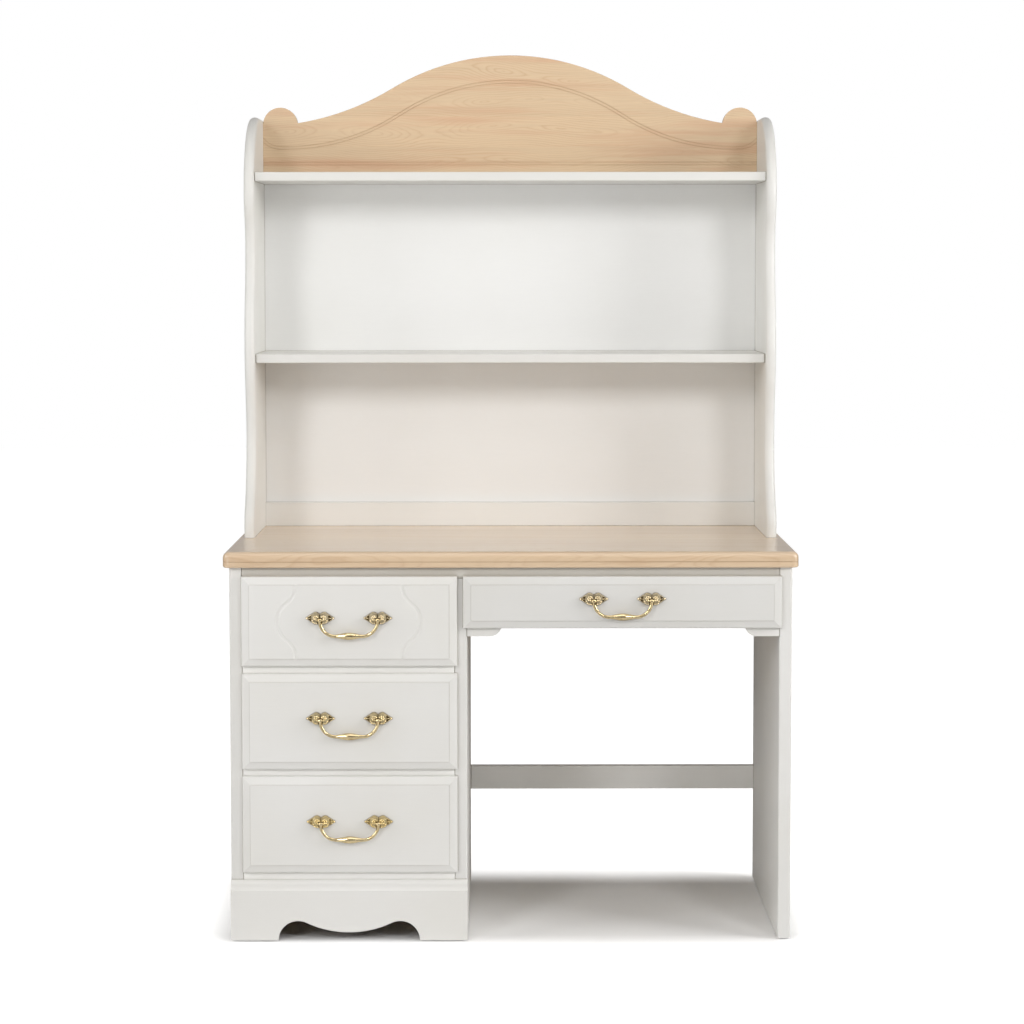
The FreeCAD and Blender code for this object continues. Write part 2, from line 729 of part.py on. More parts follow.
def make_drawer_front(name, front, box_left, box_right, box_low, box_height, serpentine):
    """A solid front: bevelled border, raised field, housings for the sides and bottom."""
    left, width, bottom, height = front
    middle = f"({left} + {width} / 2)"
    body = new_body(f"{name}_front", middle, "0", bottom)
    half = f"({width} / 2)"
    field_half = f"({half} - bevel_width)"
    field_top = f"({height} - bevel_width)"
    slope_top = "(front_thickness - field_step)"
    pad(body, draw(new_sketch(body, "XZ_Plane"), rectangle(f"0 - {half}", "0", half, height)), "front_edge")
    border = body.newObject("PartDesign::AdditiveWedge", "border")
    for prop, text in {
        "Xmin": f"0 - {field_half}", "Xmax": field_half, "Zmin": "bevel_width", "Zmax": field_top,
        "X2min": f"0 - {half}", "X2max": half, "Z2min": "0", "Z2max": height,
        "Ymin": f"0 - {slope_top}", "Ymax": "0 - front_edge",
    }.items():
        bind(border, prop, text)
    field = rectangle(f"0 - {field_half}", "bevel_width", field_half, field_top)
    pad(body, draw(new_sketch(body, "XZ_Plane", slope_top), field), "field_step")
    rim = -value("front_edge")
    fillet(body, lambda edge: along(edge, "y", rim), "front_round")

    housings = new_sketch(body, "XZ_Plane")
    low = f"({box_low} - {bottom})"
    for start in (f"({box_left} - {middle})", f"({box_right} - {middle} - box_board)"):
        draw(housings, rectangle(start, low, f"{start} + box_board", f"{low} + {box_height}"))
    pocket(body, housings, "box_housing", towards_normal=True)
    groove = rectangle(f"{box_left} - {middle} + box_board", f"{low} + bottom_rise",
                       f"{box_right} - {middle} - box_board", f"{low} + bottom_rise + bottom_thickness")
    plough = draw(new_sketch(body, "XZ_Plane"), groove)
    pocket(body, plough, "bottom_groove + groove_end_gap", towards_normal=True)
    holes = new_sketch(body, "XZ_Plane")
    for side in ("-", "+"):
        circle(holes, f"0 {side} pull_spacing / 2", f"{height} / 2 + pull_rise", "screw_hole")
    pocket(body, holes)
    if serpentine:
        rout_serpentines(body, height)
    return body


def rout_serpentines(body, height):
    """Two shallow round-bottomed grooves that bow outwards, one each side of the pull."""
    half = f"({height} / 2 - bevel_width)"
    bow = "(serpentine_belly - serpentine_neck)"
    sweep = f"(({half} ^ 2 + {bow} ^ 2) / (4 * {bow}))"
    waist = f"(serpentine_neck + {bow} / 2)"
    run_out = 6
    path = [
        ("serpentine_neck", f"bevel_width - {run_out}"),
        ("serpentine_neck", "bevel_width", f"0 - {sweep}"),
        (waist, f"bevel_width + {half} / 2", sweep),
        ("serpentine_belly", f"{height} / 2", sweep),
        (waist, f"{height} / 2 + {half} / 2", f"0 - {sweep}"),
        ("serpentine_neck", f"{height} - bevel_width"),
        ("serpentine_neck", f"{height} - bevel_width + {run_out}"),
    ]
    reach = "front_thickness + cutter_radius - cutter_depth"
    spine = draw(new_sketch(body, "XZ_Plane", reach), path, closed=False)
    cutter = new_sketch(body, "XY_Plane", f"bevel_width - {run_out}")
    circle(cutter, "serpentine_neck", f"0 - ({reach})", "cutter_radius")
    DOC.recompute()
    groove = body.newObject("PartDesign::SubtractivePipe", "serpentine")
    groove.Profile = cutter
    groove.Spine = (spine, [])
    DOC.recompute()
    mirror_feature(body, groove)


def mirror_feature(body, feature):
    """Repeat a feature across the body's own YZ plane."""
    both = body.newObject("PartDesign::Mirrored", "both_sides")
    both.Originals = [feature]
    both.MirrorPlane = (origin_plane(body, "YZ_Plane"), [""])
    body.Tip = both


def make_drawer_side(label, x, low, height, right_hand):
    """A drawer side, ploughed outside for its runner and inside for the bottom."""
    body = new_body(label, x, "box_depth", low)
    runner_low = "(runner_rise - runner_gap)"
    runner_high = "(runner_rise + runner_height + runner_gap)"
    outline = [
        ("0", "0"),
        ("box_board", "0"),
        ("box_board", "bottom_rise"),
        ("box_board - bottom_groove - groove_end_gap", "bottom_rise"),
        ("box_board - bottom_groove - groove_end_gap", "bottom_rise + bottom_thickness"),
        ("box_board", "bottom_rise + bottom_thickness"),
        ("box_board", height),
        ("0", height),
        ("0", runner_high),
        ("runner_groove", runner_high),
        ("runner_groove", runner_low),
        ("0", runner_low),
    ]
    if right_hand:
        outline = [(f"box_board - ({u})", v) for u, v in outline]
    pad(body, draw(new_sketch(body, "XZ_Plane"), outline), "box_depth + box_housing")
    return body


def make_drawer(name, front, opening, rise, drop, serpentine=False):
    """One drawer: front, two sides, back, bottom, and its pull."""
    bottom, height = front[2:]
    box_left = f"({opening[0]} + box_gap)"
    box_right = f"({opening[1]} - box_gap)"
    box_low = f"({bottom} + {rise})"
    box_height = f"({height} - {drop})"
    pieces = [
        make_drawer_front(name, front, box_left, box_right, box_low, box_height, serpentine),
        make_drawer_side(f"{name}_left_side", box_left, box_low, box_height, False),
        make_drawer_side(f"{name}_right_side", f"{box_right} - box_board", box_low, box_height, True),
    ]
    floor_top = "(bottom_rise + bottom_thickness)"
    between = f"({box_right} - {box_left} - 2 * box_board)"
    back_at = (f"{box_left} + box_board", "box_depth - box_board", f"{box_low} + {floor_top}")
    pieces.append(box(f"{name}_back", back_at, between, "box_board", f"{box_height} - {floor_top}"))
    bottom_at = (f"{box_left} + box_board - bottom_groove", "0 - bottom_groove", f"{box_low} + bottom_rise")
    pieces.append(box(f"{name}_bottom", bottom_at, f"{between} + 2 * bottom_groove",
                      "box_depth + bottom_groove", "bottom_thickness"))
    return pieces


def raised(body, kind, sizes, u, v):
    """Fuse a round primitive that stands on the body's XZ plane and points to the front."""
    feature = body.newObject(f"PartDesign::Additive{kind}", kind.lower())
    feature.AttachmentSupport = (origin_plane(body, "XZ_Plane"), [""])
    feature.MapMode = "FlatFace"
    for prop, text in sizes.items():
        bind(feature, prop, text)
    bind(feature, "AttachmentOffset.Base.x", u)
    bind(feature, "AttachmentOffset.Base.y", v)


def make_rosette():
    """A cast leaf with four drafted lobes; a slot in its raised middle takes the bail's eye.

    Straight flanks run from each tip to where they touch the lobes.
    """
    body = DOC.addObject("PartDesign::Body", "rosette")
    bind(body, "Placement.Base.x", "pull_spacing / 2")
    shoulder = "(lobe_rise + sqrt(lobe_radius ^ 2 - lobe_centre ^ 2))"
    run = "(rosette_half_width - lobe_centre)"
    span = f"({run} ^ 2 + lobe_rise ^ 2)"
    inward = f"(lobe_radius ^ 2 / {span})"
    outward = f"(lobe_radius * sqrt({span} - lobe_radius ^ 2) / {span})"
    touch_u = f"(lobe_centre + {inward} * {run} + {outward} * lobe_rise)"
    touch_v = f"(lobe_rise - {inward} * lobe_rise + {outward} * {run})"
    foot = "(0 - lobe_rise - lobe_radius)"
    leaf = [
        ("lobe_centre", foot, "lobe_radius"),
        (touch_u, f"0 - {touch_v}"),
        ("rosette_half_width", "0"),
        (touch_u, touch_v, "lobe_radius"),
        ("0", shoulder, "lobe_radius"),
        (f"0 - {touch_u}", touch_v),
        ("0 - rosette_half_width", "0"),
        (f"0 - {touch_u}", f"0 - {touch_v}", "lobe_radius"),
        ("0 - lobe_centre", foot),
    ]
    pad(body, draw(new_sketch(body, "XZ_Plane"), leaf), "rosette_plate")
    lobe = {"Radius1": "lobe_radius", "Radius2": "lobe_radius - lobe_draft", "Height": "rosette_height"}
    for u_sign in ("-", "+"):
        for v_sign in ("-", "+"):
            raised(body, "Cone", lobe, f"0 {u_sign} lobe_centre", f"0 {v_sign} lobe_rise")
    raised(body, "Cylinder", {"Radius": "boss_radius", "Height": "rosette_height - slot_depth"}, "0", "0")
    slot = rectangle("0 - slot_inner", "0 - 2 * lobe_radius", "slot_outer", "slot_top")
    pocket(body, draw(new_sketch(body, "XZ_Plane", "rosette_height"), slot), "slot_depth")
    bore = new_sketch(body, "YZ_Plane", "pin_outer")
    pocket(body, circle(bore, "0 - pull_projection", "0 - pivot_drop", "pin_radius"), "pin_outer + pin_inner")
    thread = circle(new_sketch(body, "XZ_Plane"), "0", "0", "screw_radius")
    pocket(body, thread, "screw_grip", towards_normal=True)
    return body


def make_bail():
    """The bail: a barrel-shaped grip, two arms on an arc, and a drilled eye at each end."""
    body = DOC.addObject("PartDesign::Body", "bail")
    barrel = [
        ("0 - bail_straight", "0"),
        ("bail_straight", "0"),
        ("bail_straight", "bail_arm / 2",
         "((bail_straight ^ 2 + ((bail_grip - bail_arm) / 2) ^ 2) / (bail_grip - bail_arm))"),
        ("0 - bail_straight", "bail_arm / 2"),
    ]
    profile = draw(new_sketch(body, "XZ_Plane"), barrel)
    bind(profile, "AttachmentOffset.Base.y", "0 - bail_drop")
    grip = body.newObject("PartDesign::Revolution", "grip")
    grip.Profile = profile
    grip.ReferenceAxis = (profile, ["H_Axis"])
    DOC.recompute()

    run = "(pull_spacing / 2 - bail_straight)"
    path = [
        ("bail_straight", "0 - bail_drop", f"({run} ^ 2 + bail_drop ^ 2) / (2 * bail_drop)"),
        ("pull_spacing / 2", "0"),
    ]
    spine = draw(new_sketch(body, "XZ_Plane"), path, closed=False)
    section = circle(new_sketch(body, "YZ_Plane", "bail_straight"), "0", "0 - bail_drop", "bail_arm / 2")
    DOC.recompute()
    arm = body.newObject("PartDesign::AdditivePipe", "arm")
    arm.Profile = section
    arm.Spine = (spine, [])
    DOC.recompute()
    mirror_feature(body, arm)
    for side in ("-", "+"):
        offset = f"0 {side} pull_spacing / 2 - eye_length / 2"
        pad(body, circle(new_sketch(body, "YZ_Plane", offset), "0", "0", "eye_radius"), "eye_length")
    pocket(body, circle(new_sketch(body, "YZ_Plane"), "0", "0", "pin_radius + pin_clearance"))
    return body


def make_pull_fastenings():
    """The hinge pins of the bail, and the screws that hold the rosettes from behind."""
    along_x = FreeCAD.Vector(1, 0, 0)
    along_y = FreeCAD.Vector(0, -1, 0)
    pin = cylinder("bail_pin", "pin_radius", "pin_inner + pin_outer", along_x)
    bind(pin, "Placement.Base.x", "pull_spacing / 2 - pin_inner")
    pins = group("bail_pin_pair", [pin, mirrored("bail_pin_left", pin)])
    shank = cylinder("screw_shank", "screw_radius", "front_thickness + screw_grip", along_y)
    head = cylinder("screw_head", "screw_head_radius", "screw_head_height", along_y)
    bind(head, "Placement.Base.y", "screw_head_height")
    screw = DOC.addObject("Part::Fuse", "screw")
    screw.Base = shank
    screw.Tool = head
    bind(screw, "Placement.Base.x", "pull_spacing / 2")
    screws = group("screw_pair", [screw, mirrored("screw_left", screw)])
    return pins, screws


def make_pulls(drawers):
    """One pull for each drawer: rosettes, bail, hinge pins and screws, copied from one master."""
    rosette = make_rosette()
    rosettes = group("rosette_pair", [rosette, mirrored("rosette_left", rosette)])
    bail = make_bail()
    pins, screws = make_pull_fastenings()
    pieces = []
    for name, (left, width, bottom, height) in drawers.items():
        x = f"{left} + {width} / 2"
        z = f"{bottom} + {height} / 2 + pull_rise"
        pivot = (x, "0 - front_thickness - pull_projection", f"{z} - pivot_drop")
        pieces.append(place(group(f"{name}_rosettes", [rosettes]), x, "0 - front_thickness", z))
        pieces.append(place(group(f"{name}_bail", [bail]), *pivot))
        pieces.append(place(group(f"{name}_bail_pins", [pins]), *pivot))
        pieces.append(place(group(f"{name}_pull_screws", [screws]), x, "0", z))
    return pieces


def make_runners(drawers, openings):
    """A hardwood runner each side of every drawer, on the panels."""
    members = []
    for name, (_, _, bottom, _) in drawers.items():
        rise = "pencil_box_rise" if name.startswith("pencil") else "pedestal_box_rise"
        low = f"{bottom} + {rise} + runner_rise"
        for x in (openings[name][0], f"{openings[name][1]} - runner_width"):
            members.append(box("runner", (x, "runner_front", low),
                               "runner_width", "runner_length", "runner_height"))
    return group("drawer_runners", members)


def make_glides():
    """A round glide under the front and back of each upright."""
    members = []
    for x in (LEFT, PARTITION_LEFT, INNER_RIGHT):
        for y in ("glide_inset", "carcass_depth - glide_inset"):
            glide = cylinder("glide", "glide_diameter / 2", "glide_height")
            members.append(place(glide, f"{x} + panel_thickness / 2", y, "0"))
    return group("glides", members)


def make_glue_blocks():
    """Square blocks glued under the desktop against the uprights, and behind the plinth."""
    members = []
    for x in (INNER_LEFT, PARTITION_RIGHT, f"{INNER_RIGHT} - block_side"):
        for y in ("block_front", "block_back"):
            members.append(box("block", (x, y, f"{PANEL_TOP} - block_side"),
                               "block_side", "block_length", "block_side"))
    for x in (INNER_LEFT, f"{PARTITION_LEFT} - block_side"):
        members.append(box("block", (x, "0", "glide_height + block_rise"),
                           "block_side", "block_side", "block_length"))
    return group("glue_blocks", members)


def make_dowels():
    """The dowels that stand in the desktop and carry the hutch sides."""
    members = []
    for sign in ("-", "+"):
        for y in ("dowel_front", "dowel_back"):
            dowel = cylinder("dowel", "dowel_radius", "2 * dowel_half_length")
            members.append(place(dowel, f"0 {sign} (hutch_width - hutch_side) / 2", y,
                                 "desk_height - dowel_half_length"))
    return group("hutch_dowels", members)


def export(pieces):
    """Check every object of the document, then write each sub-part to its own file."""
    DOC.recompute()
    for item in DOC.Objects:
        if "Invalid" in item.State or "Error" in item.State:
            raise RuntimeError(f"{item.Label}: {item.State}")
    os.makedirs("parts", exist_ok=True)
    for piece in pieces:
        if piece.Shape.isNull() or not piece.Shape.isValid():
            raise RuntimeError(f"{piece.Label} has no valid shape")
        piece.Shape.exportStep(f"parts/{piece.Label}.step")


def main():
    fill_sheet()
    pedestal = (INNER_LEFT, PARTITION_LEFT)
    kneehole = (PARTITION_RIGHT, INNER_RIGHT)
    drawers = {}
    openings = {}
    for place_name in ("top", "middle", "bottom"):
        drawers[f"{place_name}_drawer"] = ("pedestal_front_left", "pedestal_front_width",
                                           f"{place_name}_front_bottom", f"{place_name}_front_height")
        openings[f"{place_name}_drawer"] = pedestal
    drawers["pencil_drawer"] = ("pencil_front_left", "pencil_front_width", "pencil_front_bottom",
                                "pencil_front_height")
    openings["pencil_drawer"] = kneehole

    pieces = make_desktop() + make_uprights() + make_rails() + make_kneehole_rail() + make_plinth()
    pieces += make_hutch_sides()
    pieces.append(make_shelf("hutch_middle_shelf", "middle_shelf_height"))
    pieces.append(make_shelf("hutch_top_shelf", "top_shelf_height"))
    pieces += make_hutch_back() + make_crest()
    for name, front in drawers.items():
        kind = "pencil" if name == "pencil_drawer" else "pedestal"
        pieces += make_drawer(name, front, openings[name], f"{kind}_box_rise", f"{kind}_box_drop",
                              serpentine=name == "top_drawer")
    pieces += make_pulls(drawers)
    pieces += [make_runners(drawers, openings), make_glides(), make_glue_blocks(), make_dowels()]
    export(pieces)


if __name__ == "__main__":
    main()
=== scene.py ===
import sys
import logging
import math
from dataclasses import dataclass, field
from enum import Enum
from typing import Callable, Optional, Sequence

import bmesh
import bpy
from mathutils import Euler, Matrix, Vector


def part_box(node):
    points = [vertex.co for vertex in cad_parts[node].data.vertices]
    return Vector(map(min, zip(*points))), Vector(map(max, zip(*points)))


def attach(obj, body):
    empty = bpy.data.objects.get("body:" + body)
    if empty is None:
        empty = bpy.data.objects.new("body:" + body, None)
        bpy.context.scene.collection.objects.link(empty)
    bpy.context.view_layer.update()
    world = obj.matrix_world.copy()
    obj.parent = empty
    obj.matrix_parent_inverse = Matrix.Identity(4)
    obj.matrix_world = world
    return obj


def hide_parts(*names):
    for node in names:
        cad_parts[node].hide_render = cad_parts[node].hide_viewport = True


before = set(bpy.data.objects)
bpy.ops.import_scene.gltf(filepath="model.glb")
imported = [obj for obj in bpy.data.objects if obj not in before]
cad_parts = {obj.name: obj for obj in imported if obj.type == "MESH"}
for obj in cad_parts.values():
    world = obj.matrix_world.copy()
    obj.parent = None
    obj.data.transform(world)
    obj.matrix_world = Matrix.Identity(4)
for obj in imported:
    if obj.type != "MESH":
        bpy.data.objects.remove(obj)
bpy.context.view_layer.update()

log = logging.getLogger("student_desk")

MM = 0.001
Socket = bpy.types.NodeSocket
Tree = bpy.types.NodeTree
Point = tuple[float, float, float]
Sockets = dict[str, object]
CLEAR_COAT_IOR = 1.5
NYLON_IOR = 1.53


def linear(hex_colour: str) -> tuple[float, float, float, float]:
    """Turn an sRGB hex colour into linear red, green, blue and full alpha.

    Args:
        hex_colour: Six hex digits after a hash sign.

    Returns:
        The linear colour with an alpha of one.
    """
    channels = [int(hex_colour[i:i + 2], 16) / 255 for i in (1, 3, 5)]
    curved = [c / 12.92 if c <= 0.04045 else ((c + 0.055) / 1.055) ** 2.4 for c in channels]
    return (*curved, 1.0)


def add_node(tree: Tree, kind: str, inputs: Optional[dict] = None, give: Optional[str] = None,
             **settings: object) -> Optional[Socket]:
    """Add a node, choose its options, set its sockets and link what feeds them.

    Args:
        tree: The node tree that gets the node.
        kind: The node's type without its "ShaderNode" prefix, or its whole name.
        inputs: Socket name or number to a constant, or to the output that feeds it.
        give: The output to return, when it isn't the first one in use.
        settings: Options of the node; "stops" holds the positions and colours of a ramp.

    Returns:
        The node's output; nothing when it has none.
    """
    node = tree.nodes.new(kind if "Node" in kind else f"ShaderNode{kind}")
    stops = settings.pop("stops", ())
    for name, choice in settings.items():
        setattr(node, name, choice)
    if stops:
        ramp = node.color_ramp
        while len(ramp.elements) < len(stops):
            ramp.elements.new(0.5)
        for element, (place, colour) in zip(ramp.elements, stops):
            element.position = place
            element.color = colour
    for key, source in (inputs or {}).items():
        if isinstance(source, Socket):
            tree.links.new(source, node.inputs[key])
        else:
            node.inputs[key].default_value = source
    if give:
        return node.outputs[give]
    return next((output for output in node.outputs if output.enabled), None)


def grey(level: float) -> tuple[float, float, float, float]:
    """A ramp stop's grey."""
    return (level, level, level, 1.0)


# -------- finishes


@dataclass(frozen=True)
class Finish:
    """What a surface is made of and how it was treated.

    A subclass paints the shader; each finish makes its material only once.
    """

    name: str
    slot: str

    def material(self) -> bpy.types.Material:
        """Make the finish's Blender material at its first use.

        Returns:
            The material, the same one each time.
        """
        known = bpy.data.materials.get(self.name)
        if known:
            return known
        made = bpy.data.materials.new(self.name)
        made.use_nodes = True
        tree = made.node_tree
        tree.nodes.clear()
        shader = add_node(tree, "BsdfPrincipled", self.paint(tree))
        add_node(tree, "OutputMaterial", {"Surface": shader})
        log.info("finish %s", self.name)
        return made

    def paint(self, tree: Tree) -> Sockets:
        """Build the surface's pattern.

        Args:
            tree: The material's node tree.

        Returns:
            The shader's sockets, with what feeds them.
        """
        raise NotImplementedError


class Grain(Enum):
    """The way a board's grain runs and the way its wide face looks: (along, across, through)."""

    LEVEL_ALONG = (0, 1, 2)
    UPRIGHT_ALONG = (0, 2, 1)
    SIDE_TALL = (2, 1, 0)
    SIDE_DEEP = (1, 2, 0)


def board_axes(tree: Tree, grain: Grain) -> tuple[Socket, Socket, Socket, Socket]:
    """Read the place on a board along, across and through its grain, in metres.

    Args:
        tree: The material's node tree.
        grain: The way that the board's grain runs.

    Returns:
        The three distances, and the vector that they make.
    """
    # A carried-over solid keeps the desk's own frame, so its object place is a place on the desk.
    place = add_node(tree, "TexCoord", give="Object")
    split = add_node(tree, "SeparateXYZ", {0: place}).node
    along, across, through = (split.outputs[axis] for axis in grain.value)
    whole = add_node(tree, "CombineXYZ", {0: along, 1: across, 2: through})
    return along, across, through, whole


def drawn_out_noise(tree: Tree, place: Socket, waves: Point, detail: float, roughness: float = 0.5,
                    lot: Optional[Socket] = None) -> Socket:
    """Noise that is stretched along the grain or the buffing, and differs board by board.

    Args:
        tree: The material's node tree.
        place: The place on the piece, in metres.
        waves: Waves to the metre along, across and through.
        detail: How many finer layers the noise has.
        roughness: How strong the finer layers are.
        lot: A number drawn for the board, if the piece is made of boards.

    Returns:
        The noise, from nought to one.
    """
    aside = (0.0, 0.0, 0.0) if lot is None else add_node(
        tree, "VectorMath", {0: lot, 1: (7.3, 3.1, 5.7)}, operation="MULTIPLY")
    there = add_node(tree, "VectorMath", {0: place, 1: waves, 2: aside}, operation="MULTIPLY_ADD")
    return add_node(tree, "TexNoise", {"Vector": there, "Scale": 1.0, "Detail": detail, "Roughness": roughness})


@dataclass(frozen=True)
class ClearLacqueredBirch(Finish):
    """Plain-sawn birch boards, edge glued, planed, sanded and sprayed with clear satin lacquer.

    To the eye: pale blond wood with soft growth rings that open into ovals and
    cathedrals, a rosy flame here and there, fine short fibres, and a thin glassy coat.
    """

    grain: Grain = Grain.UPRIGHT_ALONG
    pale: str = "#dec4a2"
    deep: str = "#bd9068"
    rosy: str = "#d2a382"
    # Painted shade in tight corners, and a stain that collects in the routed lines: one brown laid where light
    # is shut out.
    shade_and_stain: str = "#9a6a38"
    shade_and_stain_reach: float = 2.2 * MM
    shade_and_stain_strength: float = 0.35
    # Where the board's face lies on the axis that goes through it.
    face: float = 0.0
    board_width: float = 63 * MM
    board_start: float = 0.0
    ring_width: float = 4.5 * MM
    ring_contrast: float = 0.36
    pith_depth: float = 4 * MM
    pith_wander: float = 50 * MM
    ripple: float = 6 * MM
    roughness: float = 0.36
    coat: float = 0.35
    coat_roughness: float = 0.22
    # Waves to the metre, for the pith on its way aside and behind, and then along,
    # across and through the grain.
    pith_waves: tuple[float, float] = (3.2, 4.6)
    ripple_waves: Point = (14.0, 60.0, 60.0)
    patch_waves: Point = (3.0, 16.0, 16.0)
    flame_waves: Point = (2.0, 34.0, 34.0)
    streak_waves: Point = (5.0, 260.0, 260.0)
    # Fibres are a few hundredths of a millimetre wide; they are drawn two thirds of a
    # millimetre wide and thirty long, the finest that shows.
    fibre_waves: Point = (32.0, 1500.0, 1500.0)

    def paint(self, tree: Tree) -> Sockets:
        """Lay out the boards, their rings, flames and fibres, and coat them.

        Args:
            tree: The material's node tree.

        Returns:
            The shader's sockets, with what feeds them.
        """
        along, across, through, place = board_axes(tree, self.grain)
        wide = self.board_width
        counted = add_node(tree, "Math", {0: across, 1: 1 / wide, 2: self.board_start / wide},
                           operation="MULTIPLY_ADD")
        number = add_node(tree, "Math", {0: counted}, operation="FLOOR")
        part = add_node(tree, "Math", {0: counted}, operation="FRACT")
        local = add_node(tree, "Math", {0: part, 1: wide, 2: -wide / 2}, operation="MULTIPLY_ADD")
        lot = add_node(tree, "TexWhiteNoise", {"W": number}, noise_dimensions="1D", give="Color")
        draw = add_node(tree, "SeparateColor", {0: lot}).node

        # The heart of the tree wanders behind each board, so rings close into ovals.
        rings = self.rings(tree, along, local, through, place, draw)
        figure = drawn_out_noise(tree, place, self.patch_waves, 2.0, lot=draw.outputs[2])
        patchy = add_node(tree, "ValToRGB", {0: figure}, stops=[(0.36, grey(0.25)), (0.62, grey(1.0))])
        shown = add_node(tree, "Math", {0: rings, 1: patchy}, operation="MULTIPLY")
        weight = add_node(tree, "Math", {0: shown, 1: self.ring_contrast}, operation="MULTIPLY")
        wood = add_node(tree, "Mix", {0: weight, 6: linear(self.pale), 7: linear(self.deep)}, data_type="RGBA")

        flame = drawn_out_noise(tree, place, self.flame_waves, 3.0, 0.6, draw.outputs[0])
        flame = add_node(tree, "ValToRGB", {0: flame}, stops=[(0.5, grey(0.0)), (0.72, grey(0.55))])
        wood = add_node(tree, "Mix", {0: flame, 6: wood, 7: linear(self.rosy)}, data_type="RGBA")

        fibre = drawn_out_noise(tree, place, self.fibre_waves, 4.0, 0.7, draw.outputs[1])
        streak = drawn_out_noise(tree, place, self.streak_waves, 3.0, 0.6, draw.outputs[1])
        both = add_node(tree, "Math", {0: fibre, 1: streak}, operation="ADD")
        board = add_node(tree, "MapRange", {0: draw.outputs[0], 3: -0.045, 4: 0.045})
        tone = add_node(tree, "MapRange", {0: both, 1: 0.6, 2: 1.4, 3: 0.94, 4: 1.06})
        tone = add_node(tree, "Math", {0: tone, 1: board}, operation="ADD")
        colour = add_node(tree, "HueSaturation", {"Value": tone, "Color": wood})
        # Painted shade in tight corners, mixed with the stain in the routed lines.
        colour = shaded_and_stained_hollows(tree, colour, self.shade_and_stain, self.shade_and_stain_reach, self.shade_and_stain_strength)

        shine = add_node(tree, "MapRange", {0: fibre, 1: 0.3, 2: 0.7, 3: self.roughness - 0.04,
                                            4: self.roughness + 0.06})
        relief = add_node(tree, "Bump", {"Height": both, "Strength": 0.05, "Distance": 0.4 * MM})
        return {"Base Color": colour, "Roughness": shine, "Normal": relief, "IOR": CLEAR_COAT_IOR,
                "Coat Weight": self.coat, "Coat Roughness": self.coat_roughness}

    def rings(self, tree: Tree, along: Socket, local: Socket, through: Socket, place: Socket,
              draw: bpy.types.Node) -> Socket:
        """The growth rings as the board's saw cut crosses them.

        Args:
            tree: The material's node tree.
            along: Distance along the board.
            local: Distance from the board's middle line.
            through: Distance through the board.
            place: The three distances as a vector.
            draw: The node that holds the board's own random numbers.

        Returns:
            Zero between rings, rising to one at each late-wood line.
        """
        wander = []
        middles = (-self.pith_wander / 2, self.pith_depth - self.face - self.pith_wander / 2)
        for number, (waves, middle) in enumerate(zip(self.pith_waves, middles)):
            # Each board's wandering starts up to 61 waves along.
            start = add_node(tree, "Math", {0: draw.outputs[number], 1: 61.0}, operation="MULTIPLY")
            run = add_node(tree, "Math", {0: along, 1: waves, 2: start}, operation="MULTIPLY_ADD")
            wave = add_node(tree, "TexNoise", {"W": run, "Scale": 1.0, "Detail": 0.0}, noise_dimensions="1D")
            wander.append(add_node(tree, "Math", {0: wave, 1: self.pith_wander, 2: middle},
                                   operation="MULTIPLY_ADD"))
        pith = add_node(tree, "CombineXYZ", {0: wander[0], 1: wander[1]})
        spot = add_node(tree, "CombineXYZ", {0: local, 1: through})
        spread = add_node(tree, "VectorMath", {0: spot, 1: pith}, operation="ADD")
        radius = add_node(tree, "VectorMath", {0: spread}, operation="LENGTH")
        ripple = drawn_out_noise(tree, place, self.ripple_waves, 3.0, 0.55, draw.outputs[1])
        uneven = add_node(tree, "Math", {0: ripple, 1: self.ripple, 2: radius}, operation="MULTIPLY_ADD")
        turns = add_node(tree, "Math", {0: uneven, 1: 1 / self.ring_width}, operation="MULTIPLY")
        phase = add_node(tree, "Math", {0: turns}, operation="FRACT")
        return add_node(tree, "ValToRGB", {0: phase}, stops=[
            (0.0, grey(0.35)), (0.16, grey(0.05)), (0.62, grey(0.2)), (0.88, grey(1.0)), (1.0, grey(0.35)),
        ])


def shaded_and_stained_hollows(tree: Tree, colour: Socket, shade_and_stain: str, reach: float, strength: float) -> Socket:
    """Darken a colour in tight corners: painted shade where light is shut out, and in wood a stain in routed
    lines.

    Args:
        tree: The material's node tree.
        colour: The colour in the open.
        shade_and_stain: The colour deep in a corner.
        reach: How far the darkening reaches from the corner, in metres.
        strength: How much of the painted shade and stain shows at most.

    Returns:
        The colour with its corners darkened.
    """
    # Ambient occlusion marks where light is shut out; the colour laid there is painted shade.
    open_sky = add_node(tree, "AmbientOcclusion", {"Distance": reach}, samples=8, give="AO")
    shut = add_node(tree, "MapRange", {0: open_sky, 1: 0.35, 2: 0.92, 3: strength, 4: 0.0})
    return add_node(tree, "Mix", {0: shut, 6: colour, 7: linear(shade_and_stain)}, data_type="RGBA")


